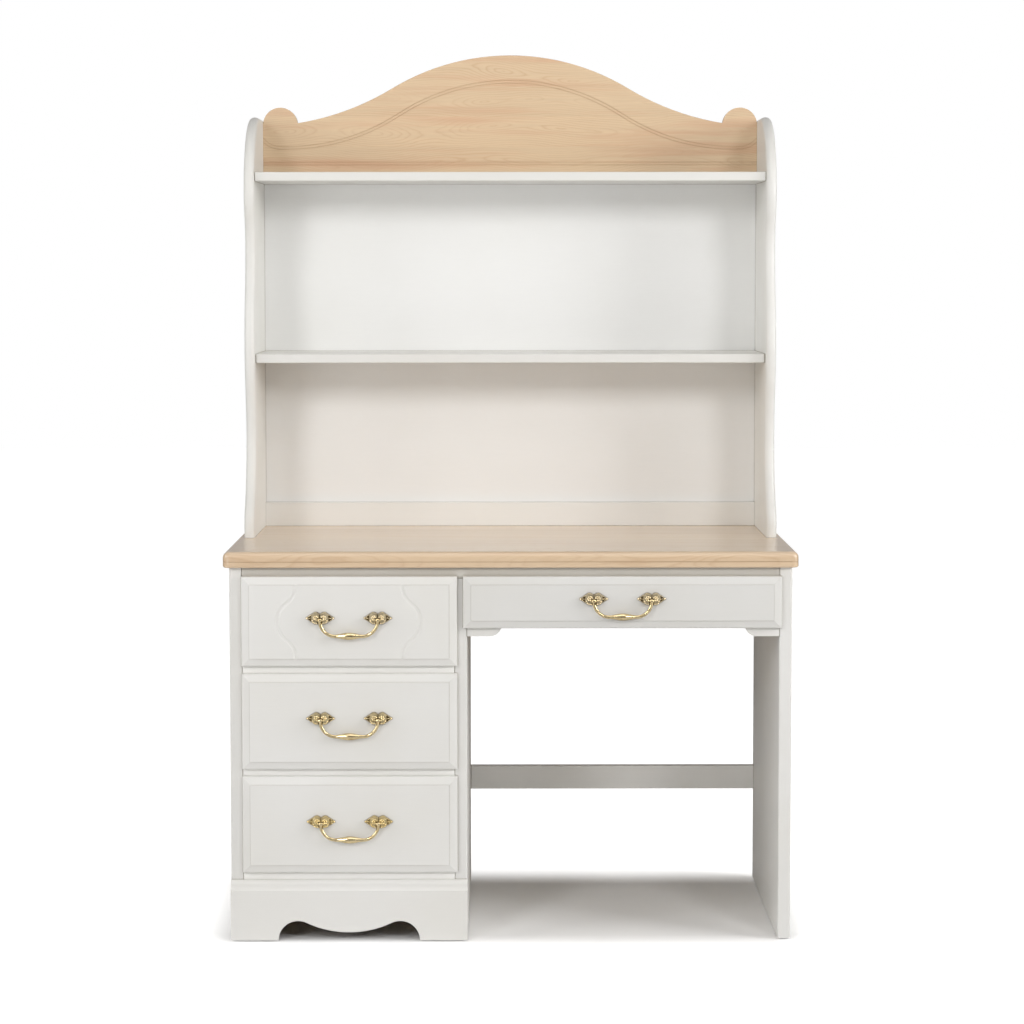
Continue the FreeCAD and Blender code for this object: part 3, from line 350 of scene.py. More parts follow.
@dataclass(frozen=True)
class SprayedWhiteLacquer(Finish):
    """Birch or board, primed and sprayed with white satin lacquer.

    To the eye: a clean warm white with a soft sheen; the spray leaves a faint orange
    peel, and the closed grain telegraphs as long shallow lines.
    """

    grain: Grain = Grain.UPRIGHT_ALONG
    white: str = "#e0dfdc"
    warm: str = "#dbd9d3"
    roughness: float = 0.40
    peel: float = 0.10
    grain_relief: float = 0.10
    # Painted shade: a warm grey laid into corners and at the foot of each step, where light is shut out.
    shade_and_stain: str = "#938a7a"
    shade_and_stain_reach: float = 2.6 * MM
    shade_and_stain_strength: float = 0.9
    # Waves to the metre. Closed pores are a tenth of a millimetre wide and are drawn
    # seven tenths wide. Orange peel has cells of two to three millimetres.
    cloud_waves: float = 4.5
    pore_waves: Point = (22.0, 1400.0, 1400.0)
    peel_waves: float = 420.0

    def paint(self, tree: Tree) -> Sockets:
        """Lay the lacquer's drift of tone, its peel, and the grain under it.

        Args:
            tree: The material's node tree.

        Returns:
            The shader's sockets, with what feeds them.
        """
        _, _, _, place = board_axes(tree, self.grain)
        cloud = add_node(tree, "TexNoise", {"Vector": place, "Scale": self.cloud_waves, "Detail": 2.0})
        drift = add_node(tree, "ValToRGB", {0: cloud}, stops=[(0.35, grey(0.0)), (0.68, grey(0.55))])
        colour = add_node(tree, "Mix", {0: drift, 6: linear(self.white), 7: linear(self.warm)},
                          data_type="RGBA")
        grain = drawn_out_noise(tree, place, self.pore_waves, 3.0, 0.6)
        line_tone = add_node(tree, "MapRange", {0: grain, 1: 0.25, 2: 0.75, 3: 0.985, 4: 1.01})
        colour = add_node(tree, "HueSaturation", {"Value": line_tone, "Color": colour})
        # Painted shade: corners and the foot of each step darken where light is shut out.
        colour = shaded_and_stained_hollows(tree, colour, self.shade_and_stain, self.shade_and_stain_reach, self.shade_and_stain_strength)
        peel = add_node(tree, "TexNoise", {"Vector": place, "Scale": self.peel_waves, "Detail": 2.0})
        shine = add_node(tree, "MapRange", {0: cloud, 1: 0.3, 2: 0.7, 3: self.roughness - 0.04,
                                            4: self.roughness + 0.05})
        relief = add_node(tree, "Bump", {"Height": peel, "Strength": self.peel, "Distance": 0.3 * MM})
        relief = add_node(tree, "Bump", {"Height": grain, "Strength": self.grain_relief, "Distance": 0.3 * MM,
                                         "Normal": relief})
        return {"Base Color": colour, "Roughness": shine, "Normal": relief, "IOR": CLEAR_COAT_IOR}


@dataclass(frozen=True)
class BareWood(Finish):
    """Planed secondary wood: drawer boxes sealed with one thin coat, runners and blocks left bare.

    To the eye: dry, straight-grained pale wood, with fine dark pores and little shine.
    """

    grain: Grain = Grain.UPRIGHT_ALONG
    pale: str = "#dfc49c"
    deep: str = "#bf9a6a"
    roughness: float = 0.62
    ring_width: float = 3.5 * MM
    ring_lean: float = 0.35
    ring_sway: float = 30 * MM
    # Waves to the metre. Pores are a tenth of a millimetre wide and a few long; they
    # are drawn four times as wide.
    sway_waves: Point = (3.0, 40.0, 40.0)
    pore_waves: Point = (60.0, 2200.0, 2200.0)

    def paint(self, tree: Tree) -> Sockets:
        """Lay straight rings and pores along the board.

        Args:
            tree: The material's node tree.

        Returns:
            The shader's sockets, with what feeds them.
        """
        _, across, through, place = board_axes(tree, self.grain)
        sway = drawn_out_noise(tree, place, self.sway_waves, 3.0)
        lean = add_node(tree, "Math", {0: through, 1: self.ring_lean, 2: across}, operation="MULTIPLY_ADD")
        bent = add_node(tree, "Math", {0: sway, 1: self.ring_sway, 2: lean}, operation="MULTIPLY_ADD")
        turns = add_node(tree, "Math", {0: bent, 1: 1 / self.ring_width}, operation="MULTIPLY")
        phase = add_node(tree, "Math", {0: turns}, operation="FRACT")
        rings = add_node(tree, "ValToRGB", {0: phase}, stops=[
            (0.0, grey(0.3)), (0.2, grey(0.0)), (0.7, grey(0.3)), (0.9, grey(0.8)), (1.0, grey(0.3)),
        ])
        pores = drawn_out_noise(tree, place, self.pore_waves, 2.0, 0.6)
        dark = add_node(tree, "MapRange", {0: pores, 1: 0.3, 2: 0.7, 3: 0.84, 4: 1.06})
        wood = add_node(tree, "Mix", {0: rings, 6: linear(self.pale), 7: linear(self.deep)}, data_type="RGBA")
        colour = add_node(tree, "HueSaturation", {"Value": dark, "Color": wood})
        relief = add_node(tree, "Bump", {"Height": pores, "Strength": 0.18, "Distance": 0.4 * MM})
        return {"Base Color": colour, "Roughness": self.roughness, "Normal": relief, "IOR": CLEAR_COAT_IOR}


@dataclass(frozen=True)
class AntiquedCastBrass(Finish):
    """Brass, sand cast, dipped in a dark antiquing wash and rubbed bright on its high places.

    To the eye: warm gold beads and edges over dark olive-brown hollows, with a slightly
    grainy casting skin. The mesh carries how deep each point lies as "hollow".
    """

    bright: str = "#dcc089"
    wash: str = "#43300e"
    # The real wash's strength, raised or lowered drawer by drawer as painted light and shade.
    wash_and_shade_strength: float = 0.9
    roughness: float = 0.24
    # Waves to the metre. Moulding sand has grains of a quarter of a millimetre.
    blotch_waves: float = 900.0
    sand_waves: float = 3500.0

    def paint(self, tree: Tree) -> Sockets:
        """Leave the wash in the hollows and rub the rest bright.

        Args:
            tree: The material's node tree.

        Returns:
            The shader's sockets, with what feeds them.
        """
        place = add_node(tree, "TexCoord", give="Object")
        deep = add_node(tree, "Attribute", attribute_name="hollow", give="Fac")
        blotch = add_node(tree, "TexNoise", {"Vector": place, "Scale": self.blotch_waves, "Detail": 3.0})
        mottled = add_node(tree, "Math", {0: blotch, 1: 0.5}, operation="SUBTRACT")
        mottled = add_node(tree, "Math", {0: mottled, 1: 0.5, 2: deep}, operation="MULTIPLY_ADD")
        dark = add_node(tree, "MapRange", {0: mottled, 1: 0.25, 2: 0.85, 3: 0.0, 4: self.wash_and_shade_strength})
        colour = add_node(tree, "Mix", {0: dark, 6: linear(self.bright), 7: linear(self.wash)},
                          data_type="RGBA")
        dull = add_node(tree, "MapRange", {0: dark, 3: self.roughness, 4: self.roughness + 0.3})
        sand = add_node(tree, "TexNoise", {"Vector": place, "Scale": self.sand_waves, "Detail": 2.0})
        relief = add_node(tree, "Bump", {"Height": sand, "Strength": 0.12, "Distance": 0.15 * MM})
        return {"Base Color": colour, "Roughness": dull, "Normal": relief, "Metallic": 1.0}


@dataclass(frozen=True)
class PolishedBrass(Finish):
    """Brass, cast and buffed to a shine, with thin lacquer over it.

    To the eye: mirror-like gold that is a little cloudy from handling.
    """

    gold: str = "#dcc99e"
    tarnish: str = "#8a6d3e"
    roughness: float = 0.13
    # Waves to the metre. Buffing marks are hair-fine; they are drawn a quarter of a
    # millimetre wide and three long.
    cloud_waves: float = 160.0
    mark_waves: Point = (300.0, 4000.0, 4000.0)

    def paint(self, tree: Tree) -> Sockets:
        """Cloud the polish a little and lay buffing marks along the bar.

        Args:
            tree: The material's node tree.

        Returns:
            The shader's sockets, with what feeds them.
        """
        place = add_node(tree, "TexCoord", give="Object")
        cloud = add_node(tree, "TexNoise", {"Vector": place, "Scale": self.cloud_waves, "Detail": 3.0})
        haze = add_node(tree, "MapRange", {0: cloud, 1: 0.45, 2: 0.8, 3: 0.0, 4: 0.7})
        colour = add_node(tree, "Mix", {0: haze, 6: linear(self.gold), 7: linear(self.tarnish)},
                          data_type="RGBA")
        shine = add_node(tree, "MapRange", {0: cloud, 1: 0.3, 2: 0.8, 3: self.roughness,
                                            4: self.roughness + 0.1})
        buff = drawn_out_noise(tree, place, self.mark_waves, 2.0)
        relief = add_node(tree, "Bump", {"Height": buff, "Strength": 0.04, "Distance": 0.1 * MM})
        return {"Base Color": colour, "Roughness": shine, "Normal": relief, "Metallic": 1.0}


@dataclass(frozen=True)
class ZincPlatedSteel(Finish):
    """Mild steel, cold headed and bright zinc plated.

    To the eye: bluish grey metal with a faint crystalline bloom.
    """

    zinc: str = "#b9bcc0"
    bloom: str = "#8f9296"
    roughness: float = 0.34
    # Waves to the metre, for crystals of a third of a millimetre.
    crystal_waves: float = 3000.0

    def paint(self, tree: Tree) -> Sockets:
        """Lay the zinc's small crystals.

        Args:
            tree: The material's node tree.

        Returns:
            The shader's sockets, with what feeds them.
        """
        place = add_node(tree, "TexCoord", give="Object")
        crystals = add_node(tree, "TexVoronoi", {"Vector": place, "Scale": self.crystal_waves}, give="Color")
        level = add_node(tree, "SeparateColor", {0: crystals})
        share = add_node(tree, "Math", {0: level, 1: 0.35}, operation="MULTIPLY")
        colour = add_node(tree, "Mix", {0: share, 6: linear(self.zinc), 7: linear(self.bloom)},
                          data_type="RGBA")
        shine = add_node(tree, "MapRange", {0: level, 3: self.roughness - 0.05, 4: self.roughness + 0.08})
        return {"Base Color": colour, "Roughness": shine, "Metallic": 1.0}


@dataclass(frozen=True)
class MouldedNylon(Finish):
    """Nylon, injection moulded, natural colour.

    To the eye: milky, slightly waxy plastic with a fine spark-eroded skin.
    """

    milky: str = "#dcd9cf"
    scuffed: str = "#c3beb0"
    roughness: float = 0.48
    # Waves to the metre. A spark-eroded skin is drawn a quarter of a millimetre coarse.
    scuff_waves: float = 300.0
    skin_waves: float = 4000.0

    def paint(self, tree: Tree) -> Sockets:
        """Lay the mould's fine skin and the scuffs of the floor.

        Args:
            tree: The material's node tree.

        Returns:
            The shader's sockets, with what feeds them.
        """
        place = add_node(tree, "TexCoord", give="Object")
        scuff = add_node(tree, "TexNoise", {"Vector": place, "Scale": self.scuff_waves, "Detail": 4.0})
        worn = add_node(tree, "MapRange", {0: scuff, 1: 0.5, 2: 0.75, 3: 0.0, 4: 0.7})
        colour = add_node(tree, "Mix", {0: worn, 6: linear(self.milky), 7: linear(self.scuffed)},
                          data_type="RGBA")
        eroded = add_node(tree, "TexNoise", {"Vector": place, "Scale": self.skin_waves})
        relief = add_node(tree, "Bump", {"Height": eroded, "Strength": 0.2, "Distance": 0.1 * MM})
        return {"Base Color": colour, "Roughness": self.roughness, "Normal": relief, "IOR": NYLON_IOR}


CREST_WOOD = ClearLacqueredBirch("crest_birch", "natural_wood", face=255.5 * MM, board_start=4 * MM)
TOP_WOOD = ClearLacqueredBirch("desktop_birch", "natural_wood", grain=Grain.LEVEL_ALONG, pale="#dcc2a2",
                               deep="#bc9873", rosy="#cda986", face=766 * MM, board_width=112 * MM,
                               board_start=30 * MM, pith_depth=20 * MM, ring_contrast=0.42, coat=1.0)
# The white pieces share one lacquer; their whites differ piece by piece as painted light and shade, set to how
# bright each piece shows.
FRONT_WHITE = SprayedWhiteLacquer("white_lacquer_front", "white_lacquer")
UPRIGHT_WHITE = SprayedWhiteLacquer("white_lacquer_upright", "white_lacquer", grain=Grain.SIDE_TALL)
# Painted light: the rails between the drawers and the hutch's foot rail get a lighter white with little corner
# shade, standing in for light that reaches into them.
RAIL_LIT_WHITE = SprayedWhiteLacquer("white_lacquer_rail", "white_lacquer", white="#f2f1ee", warm="#edece7",
                                 shade_and_stain_strength=0.25)
SIDE_WHITE = SprayedWhiteLacquer("white_lacquer_side", "white_lacquer", grain=Grain.SIDE_TALL,
                                 white="#e2e1dd", warm="#dddbd5")
SHELF_WHITE = SprayedWhiteLacquer("white_lacquer_shelf", "white_lacquer", grain=Grain.LEVEL_ALONG,
                                  white="#e0dfdb")
# Painted shade: the pencil drawer sits under the desktop, and its front gets a darker copy of the front white.
PENCIL_SHADED_WHITE = SprayedWhiteLacquer("white_lacquer_pencil_front", "white_lacquer", white="#d8d7d4",
                                   warm="#d3d1cb")
# Painted shadow: under the desktop's overhang the top rail gets a darker white, and its painted corner shade
# reaches sixteen millimetres.
TOP_RAIL_SHADED_WHITE = SprayedWhiteLacquer("white_lacquer_top_rail", "white_lacquer", white="#dddbd6",
                                     warm="#d0cdc5", shade_and_stain_reach=16 * MM, shade_and_stain_strength=0.85)
BACK_BOARD = SprayedWhiteLacquer("white_back_board", "back_board", white="#f4f4f3", warm="#f0f0ee",
                                 roughness=0.48, peel=0.16, grain_relief=0.04, shade_and_stain_strength=0.6)
DRAWER_SIDE_WOOD = BareWood("drawer_side_wood", "drawer_wood", grain=Grain.SIDE_DEEP, roughness=0.46)
DRAWER_BACK_WOOD = BareWood("drawer_back_wood", "drawer_wood", roughness=0.46)
DRAWER_FLOOR_WOOD = BareWood("drawer_floor_wood", "drawer_wood", grain=Grain.LEVEL_ALONG, pale="#e3cba6",
                             deep="#c9a779", roughness=0.5, ring_width=6 * MM)
RUNNER_WOOD = BareWood("runner_hardwood", "bare_hardwood", grain=Grain.SIDE_DEEP, pale="#d4b688",
                       deep="#b08c5b")
BLOCK_WOOD = BareWood("block_hardwood", "bare_hardwood", pale="#d8bb8e", deep="#b69262")
BAIL_BRASS = PolishedBrass("polished_brass", "cast_brass")
STEEL = ZincPlatedSteel("zinc_plated_steel", "screw_steel")
NYLON = MouldedNylon("moulded_nylon", "glide_nylon")


# -------- dressing the carried-over solids

# Edges sharper than these, in degrees, stay crisp or are sanded.
CORNER_ANGLE = 18
ARRIS_ANGLE = 32


def clean_shading(crisp: bool) -> bpy.types.NodeTree:
    """A node group that welds a solid's split edges and shades it smooth.

    Args:
        crisp: Whether its own corners stay crisp, or are left to an arris after it.

    Returns:
        The geometry node group, made once of each kind.
    """
    name = "crisp_shading" if crisp else "clean_shading"
    known = bpy.data.node_groups.get(name)
    if known:
        return known
    tree = bpy.data.node_groups.new(name, "GeometryNodeTree")
    tree.interface.new_socket("Geometry", in_out="INPUT", socket_type="NodeSocketGeometry")
    tree.interface.new_socket("Geometry", in_out="OUTPUT", socket_type="NodeSocketGeometry")
    entry = add_node(tree, "NodeGroupInput")
    bare = add_node(tree, "GeometryNodeRemoveAttribute",
                    {"Geometry": entry, "Name": "custom_normal"})
    weld = add_node(tree, "GeometryNodeMergeByDistance", {"Geometry": bare, "Distance": 0.01 * MM})
    shaded = add_node(tree, "GeometryNodeSetShadeSmooth", {"Geometry": weld, "Shade Smooth": True})
    if crisp:
        angle = add_node(tree, "GeometryNodeInputMeshEdgeAngle")
        corner = add_node(tree, "FunctionNodeCompare", {0: angle, 1: math.radians(CORNER_ANGLE)})
        shaded = add_node(tree, "GeometryNodeSetShadeSmooth",
                          {"Geometry": shaded, "Selection": corner, "Shade Smooth": False}, domain="EDGE")
    add_node(tree, "NodeGroupOutput", {"Geometry": shaded})
    return tree


def dress(node: str, finish: Finish, arris: float = 0.8 * MM) -> None:
    """Give a carried-over solid its finish, and sand its sharp edges to a small round.

    Args:
        node: The solid's name.
        finish: What it is made of.
        arris: Width of the sanded edge; zero leaves the edges as they are.
    """
    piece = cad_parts[node]
    for place in piece.material_slots:
        place.material = finish.material()
    tidy = piece.modifiers.new("clean_shading", "NODES")
    tidy.node_group = clean_shading(crisp=not arris)
    if arris:
        edge = piece.modifiers.new("sanded_arris", "BEVEL")
        edge.width = arris
        edge.segments = 2
        edge.limit_method = "ANGLE"
        edge.angle_limit = math.radians(ARRIS_ANGLE)
        edge.use_clamp_overlap = True
    level = piece.modifiers.new("even_shading", "WEIGHTED_NORMAL")
    level.keep_sharp = True
    level.weight = 60
    log.info("%s dressed in %s", node, finish.name)


# -------- making new pieces


def mesh_piece(name: str, bm: bmesh.types.BMesh, finish: Finish, body: str) -> bpy.types.Object:
    """Turn a bmesh into a smooth-shaded piece that rides on a body.

    Args:
        name: The piece's name.
        bm: The shape, in metres, in the desk's frame; it is freed.
        finish: What it is made of.
        body: The body it moves with.

    Returns:
        The new object.
    """
    mesh = bpy.data.meshes.new(name)
    bmesh.ops.recalc_face_normals(bm, faces=bm.faces)
    bm.to_mesh(mesh)
    bm.free()
    mesh.materials.append(finish.material())
    for face in mesh.polygons:
        face.use_smooth = True
    piece = bpy.data.objects.new(name, mesh)
    bpy.context.scene.collection.objects.link(piece)
    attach(piece, body)
    log.info("%s made of %s, %d faces", name, finish.name, len(mesh.polygons))
    return piece


def join(bm: bmesh.types.BMesh, rings: Sequence[Sequence[bmesh.types.BMVert]]) -> None:
    """Join closed rings of vertices, one after another, with faces.

    Args:
        bm: The bmesh that gets the faces.
        rings: The rings, each with the same number of vertices.
    """
    for low, high in zip(rings, rings[1:]):
        for i, start in enumerate(low):
            j = (i + 1) % len(low)
            bm.faces.new((start, low[j], high[j], high[i]))


def skin(bm: bmesh.types.BMesh, rows: Sequence[Sequence[Vector]]) -> None:
    """Skin closed rings of points, one after another, into one tube with closed ends.

    Args:
        bm: The bmesh that gets the faces.
        rows: The rings, each with the same number of points.
    """
    rings = [[bm.verts.new(point) for point in row] for row in rows]
    join(bm, rings)
    bm.faces.new(reversed(rings[0]))
    bm.faces.new(rings[-1])


def blend(low: float, high: float, x: float) -> float:
    """Rise smoothly from zero at low to one at high."""
    t = min(max((x - low) / (high - low), 0.0), 1.0)
    return t * t * (3 - 2 * t)


def dome(distance: float, radius: float) -> float:
    """The height of a unit dome at a distance from its middle."""
    return math.sqrt(max(0.0, 1 - (distance / radius) ** 2))


@dataclass
class Rosette:
    """One cast rosette: a four-lobed leaf with two beaded clusters and a small knob at each tip.

    Lengths are in millimetres from the rosette's centre: u across, v up, h out from the front.
    The body swells over the leaf; its beads are a heart, a crown round it, petals and a tip.
    """

    lobe_u: float = 8.0
    lobe_v: float = 3.5
    lobe_radius: float = 8.5
    half_width: float = 28.0
    plate: float = 2.4
    rim: float = 1.1
    vein: float = 0.9
    neck: tuple[float, float] = (17.0, 21.0)
    scallop: float = 0.25
    scallop_pitch: float = 3.6
    height: float = 13.9
    body: tuple[float, float] = (18.6, 11.8)
    body_drop: float = 2.6
    parting: float = 1.6
    slot_inner: float = 4.9
    slot_outer: float = 4.4
    slot_top: float = 1.2
    slot_floor: float = 6.5
    slot_edge: float = 0.35
    knob_u: float = 25.4
    knob_radius: float = 2.2
    knob_height: float = 2.3
    heart: tuple[float, float] = (7.3, 1.6)
    heart_bead: float = 2.0
    crown: tuple[float, float] = (4.4, 3.7)
    crown_bead: float = 1.75
    crown_beads: int = 7
    petal_reach: float = 6.3
    petal_bead: float = 1.8
    petals: int = 5
    tip: tuple[float, float, float] = (17.8, 0.0, 1.5)
    rays: int = 256
    rings: int = 44

    def outside(self, u: float, v: float) -> float:
        """How far a point lies outside the leaf.

        Args:
            u: Across, positive away from the pull's middle.
            v: Up.

        Returns:
            The distance, negative inside.
        """
        side, over = abs(u), abs(v)
        lobes = math.hypot(side - self.lobe_u, over - self.lobe_v) - self.lobe_radius
        scallop = self.scallop * (1 - math.cos(math.tau * side / self.scallop_pitch)) * blend(1.0, 4.0, -v)
        run = self.half_width - self.lobe_u
        lean = math.acos(self.lobe_radius / math.hypot(run, self.lobe_v)) - math.atan2(self.lobe_v, run)
        flank = (side - self.half_width) * math.cos(lean) + over * math.sin(lean)
        blade = max(flank, self.lobe_u - side, side - self.half_width, over - self.lobe_v - self.lobe_radius)
        foot = max(side - self.lobe_u, -v - self.lobe_v - self.lobe_radius, v)
        knob = math.hypot(side - self.knob_u, v) - self.knob_radius
        return min(min(lobes, blade, foot) + scallop * (1 - blend(*self.neck, side)), knob)

    def reach(self, angle: float) -> float:
        """Find the outline at an angle, from outside inwards and then by halving.

        Args:
            angle: The angle from across, in radians.

        Returns:
            The distance from the centre.
        """
        cos, sin = math.cos(angle), math.sin(angle)
        low, high = 5.0, self.half_width + 0.5
        step = (high - low) / 60
        while high > low and self.outside((high - step) * cos, (high - step) * sin) > 0:
            high -= step
        low = high - step
        for _ in range(18):
            middle = (low + high) / 2
            if self.outside(middle * cos, middle * sin) < 0:
                low = middle
            else:
                high = middle
        return min(low, self.half_width)

    def relief(self, u: float, v: float) -> tuple[float, float]:
        """The height of the casting at a point, and how hollow it is there.

        Args:
            u: Across, positive away from the pull's middle.
            v: Up.

        Returns:
            The height in millimetres, and nought to one for open to deep.
        """
        side, over = abs(u), abs(v)
        inside = -self.outside(u, v)
        rim = 1 - blend(0.0, 1.0, abs(inside - 0.9))
        vein = (1 - blend(0.2, 1.3, over)) * blend(17.0, 19.0, side)
        height = self.plate + self.rim * rim + self.vein * vein
        hollow = (1 - 0.8 * rim) * (1 - 0.8 * vein)
        swell = 1 - (side / self.body[0]) ** 3.2 - (over / self.body[1]) ** 3.2
        body = blend(0.0, 0.5, swell)
        if body > 0:
            parting = (1 - blend(0.0, 1.4, side)) * blend(1.0, 2.5, v)
            rise = self.height - self.body_drop - self.plate
            height = max(height, self.plate + (rise - self.parting * parting) * body)
            hollow += (0.4 * parting + 0.56 - hollow) * blend(0.2, 0.8, body)
        for bead_u, bead_v, radius in self.beads():
            distance = math.hypot(side - bead_u, v - bead_v)
            if distance < radius:
                bump = dome(distance, radius)
                height = min(height + 1.1 * radius * bump, self.height)
                hollow = min(hollow, 0.8 * (1 - bump) ** 1.5)
        knob = math.hypot(side - self.knob_u, v)
        if knob < self.knob_radius:
            height = max(height, self.plate + self.knob_height * dome(knob, self.knob_radius))
            hollow = 0.1
        across = min(u + self.slot_inner, self.slot_outer - u)
        edge = self.slot_edge
        gap = blend(-edge, edge, across) * blend(-edge, edge, self.slot_top - v)
        if gap and height > self.slot_floor:
            height += (self.slot_floor - height) * gap
            hollow = max(hollow, 0.9 * gap)
        return height, hollow

    def beads(self) -> list[tuple[float, float, float]]:
        """Lay out one side's beads: a heart with a crown of beads, petals below it, one at the tip.

        Returns:
            Where each bead's middle is, and its radius.
        """
        (u, v), (wide, high), reach = self.heart, self.crown, self.petal_reach
        cluster = [(u, v, self.heart_bead), self.tip]
        for i in range(self.crown_beads):
            angle = math.tau * i / self.crown_beads
            cluster.append((u + wide * math.cos(angle), v + high * math.sin(angle), self.crown_bead))
        for i in range(self.petals):
            angle = math.radians(37 * i - 150)
            cluster.append((self.lobe_u + reach * math.cos(angle), reach * math.sin(angle) - self.lobe_v,
                            self.petal_bead))
        return cluster

    def build(self, bm: bmesh.types.BMesh, place: Callable[[float, float, float], Vector],
              deep: bmesh.types.BMLayerItem) -> None:
        """Cast the rosette as rings of points from its centre to its rim and round its back.

        Args:
            bm: The bmesh that gets the casting.
            place: Turns u, v and h into a point of the desk.
            deep: The layer that keeps how hollow each point is.
        """
        # The rays crowd towards the tips, where the outline is tight.
        even = [math.tau * i / self.rays for i in range(self.rays)]
        angles = [phi - 0.4 * math.sin(2 * phi) for phi in even]
        reaches = [self.reach(angle) for angle in angles]
        rows = []
        for ring in range(1, self.rings + 1):
            share = (ring / self.rings) ** 0.9
            row = []
            for angle, reach in zip(angles, reaches):
                u, v = share * reach * math.cos(angle), share * reach * math.sin(angle)
                height, hollow = self.relief(u, v)
                if share > 0.97:
                    height -= 0.5
                vert = bm.verts.new(place(u, v, height))
                vert[deep] = hollow
                row.append(vert)
            rows.append(row)
        for height, shrink in ((1.2, 1.0), (0.0, 0.985)):
            row = []
            for angle, reach in zip(angles, reaches):
                r = reach * shrink
                vert = bm.verts.new(place(r * math.cos(angle), r * math.sin(angle), height))
                vert[deep] = 0.6
                row.append(vert)
            rows.append(row)
        join(bm, rows)
        height, hollow = self.relief(0.0, 0.0)
        middle = bm.verts.new(place(0.0, 0.0, height))
        middle[deep] = hollow
        for i, start in enumerate(rows[0]):
            bm.faces.new((middle, rows[0][(i + 1) % self.rays], start))
        bm.faces.new(rows[-1])


@dataclass
class Pull:
    """A cast bail pull: two rosettes, a swinging bail on two pins, and two screws from behind.

    The centre is between the rosettes on the drawer front's face. Lengths are in millimetres.
    """

    name: str
    drawer_body: str
    bail_body: str
    centre: Vector
    wash: float
    bright: str
    spacing: float = 112.0
    projection: float = 11.0
    pivot_drop: float = 3.0
    bail_drop: float = 31.0
    straight: float = 26.0
    arm_radius: float = 3.25
    grip_radius: float = 7.0
    grip_reach: float = 30.0
    eye: tuple[tuple[float, float], ...] = (
        (-4.0, 2.6), (-3.6, 3.4), (-2.8, 3.8), (2.8, 3.8), (3.6, 3.4), (4.0, 2.6))
    front: float = 18.0
    screw_grip: float = 5.5
    screw_shank: float = 2.0
    recess: float = 1.5
    bar_sides: int = 28
    screw_sides: int = 64
    rosette: Rosette = field(default_factory=Rosette)

    def build(self) -> None:
        """Make and dress every piece of the pull."""
        self.make_rosettes()
        self.make_bail()
        self.make_screws()
        dress(f"{self.name}_bail_pins", BAIL_BRASS, 0.2 * MM)

    def make_rosettes(self) -> None:
        """Cast the pair of rosettes, mirror images of each other."""
        finish = AntiquedCastBrass(f"antiqued_cast_brass_{self.name}", "cast_brass", bright=self.bright,
                                   wash_and_shade_strength=self.wash)
        bm = bmesh.new()
        deep = bm.verts.layers.float.new("hollow")
        for side in (-1, 1):
            def place(u: float, v: float, h: float, side: int = side) -> Vector:
                """Put a point of the rosette on its side of the pull."""
                return self.centre + Vector((side * (self.spacing / 2 + u), -h, v)) * MM

            self.rosette.build(bm, place, deep)
        pair = mesh_piece(f"{self.name}_cast_rosettes", bm, finish, self.drawer_body)
        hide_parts(f"{self.name}_rosettes")

    def bail_path(self, steps: int = 96) -> list[tuple[Vector, Vector, float]]:
        """Points along the bail's middle line, their direction, and the bar's radius there.

        Args:
            steps: How many spans the line is cut into.

        Returns:
            For each point its place from the pivot line, its direction and its radius.
        """
        run = self.spacing / 2 - self.straight
        radius = (run ** 2 + self.bail_drop ** 2) / (2 * self.bail_drop)
        length = self.straight + radius * math.acos(1 - self.bail_drop / radius)
        line = []
        for i in range(steps + 1):
            s = (2 * i / steps - 1) * length
            far = max(abs(s) - self.straight, 0.0)
            turn = far / radius
            side = math.copysign(1.0, s)
            x = side * (min(abs(s), self.straight) + radius * math.sin(turn))
            z = -self.bail_drop + radius * (1 - math.cos(turn))
            direction = Vector((math.cos(turn), 0.0, side * math.sin(turn)))
            swell = (self.grip_radius - self.arm_radius) * (0.5 + 0.5 * math.cos(
                math.pi * min(abs(s) / self.grip_reach, 1.0))) ** 1.1
            line.append((Vector((x, 0.0, z)), direction, self.arm_radius + swell))
        return line

    def make_bail(self) -> None:
        """Sweep the bail's bar, and turn the two eyes that its pins go through."""
        bm = bmesh.new()
        pivot = self.centre + Vector((0.0, -self.projection, -self.pivot_drop)) * MM
        turns = [math.tau * i / self.bar_sides for i in range(self.bar_sides)]
        out = Vector((0.0, -1.0, 0.0))
        rows = []
        for point, direction, radius in self.bail_path():
            up = direction.cross(out)
            rows.append([pivot + (point + radius * (math.cos(a) * out + math.sin(a) * up)) * MM for a in turns])
        skin(bm, rows)
        for side in (-1, 1):
            rows = []
            for along, radius in self.eye:
                middle = Vector((side * self.spacing / 2 + along, 0.0, 0.0))
                rows.append([pivot + (middle + Vector((0.0, radius * math.cos(a), radius * math.sin(a)))) * MM
                             for a in turns])
            skin(bm, rows)
        bail = mesh_piece(f"{self.name}_swept_bail", bm, BAIL_BRASS, self.bail_body)
        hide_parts(f"{self.name}_bail")

    def make_screws(self) -> None:
        """Turn the two pan-head screws, each with a cross recess, that come from inside the front."""
        bm = bmesh.new()
        end = -self.front - self.screw_grip
        # Each ring's radius and its height over the wood, from the middle of the head to the tip.
        profile = [(0.3 * i, 2.5) for i in range(1, 9)]
        profile += [(3.2, 2.1), (3.8, 1.5), (4.15, 0.6), (4.2, 0.0), (self.screw_shank, 0.0),
                    (self.screw_shank, end + 0.9), (1.5, end)]
        turns = [math.tau * i / self.screw_sides for i in range(self.screw_sides)]
        for side in (-1, 1):
            base = self.centre + Vector((side * self.spacing / 2, self.front, 0.0)) * MM
            rows = []
            for radius, out in profile:
                row = []
                for a in turns:
                    x, z = radius * math.cos(a), radius * math.sin(a)
                    wing, reach = sorted((abs(x), abs(z)))
                    cut = (1 - blend(0.3, 0.6, wing)) * (1 - blend(1.9, 2.3, reach)) if out > 2 else 0.0
                    row.append(base + Vector((x, out - self.recess * cut, z)) * MM)
                rows.append(row)
            skin(bm, rows)
        screws = mesh_piece(f"{self.name}_turned_screws", bm, STEEL, self.drawer_body)
        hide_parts(f"{self.name}_pull_screws")


# -------- sub-assemblies


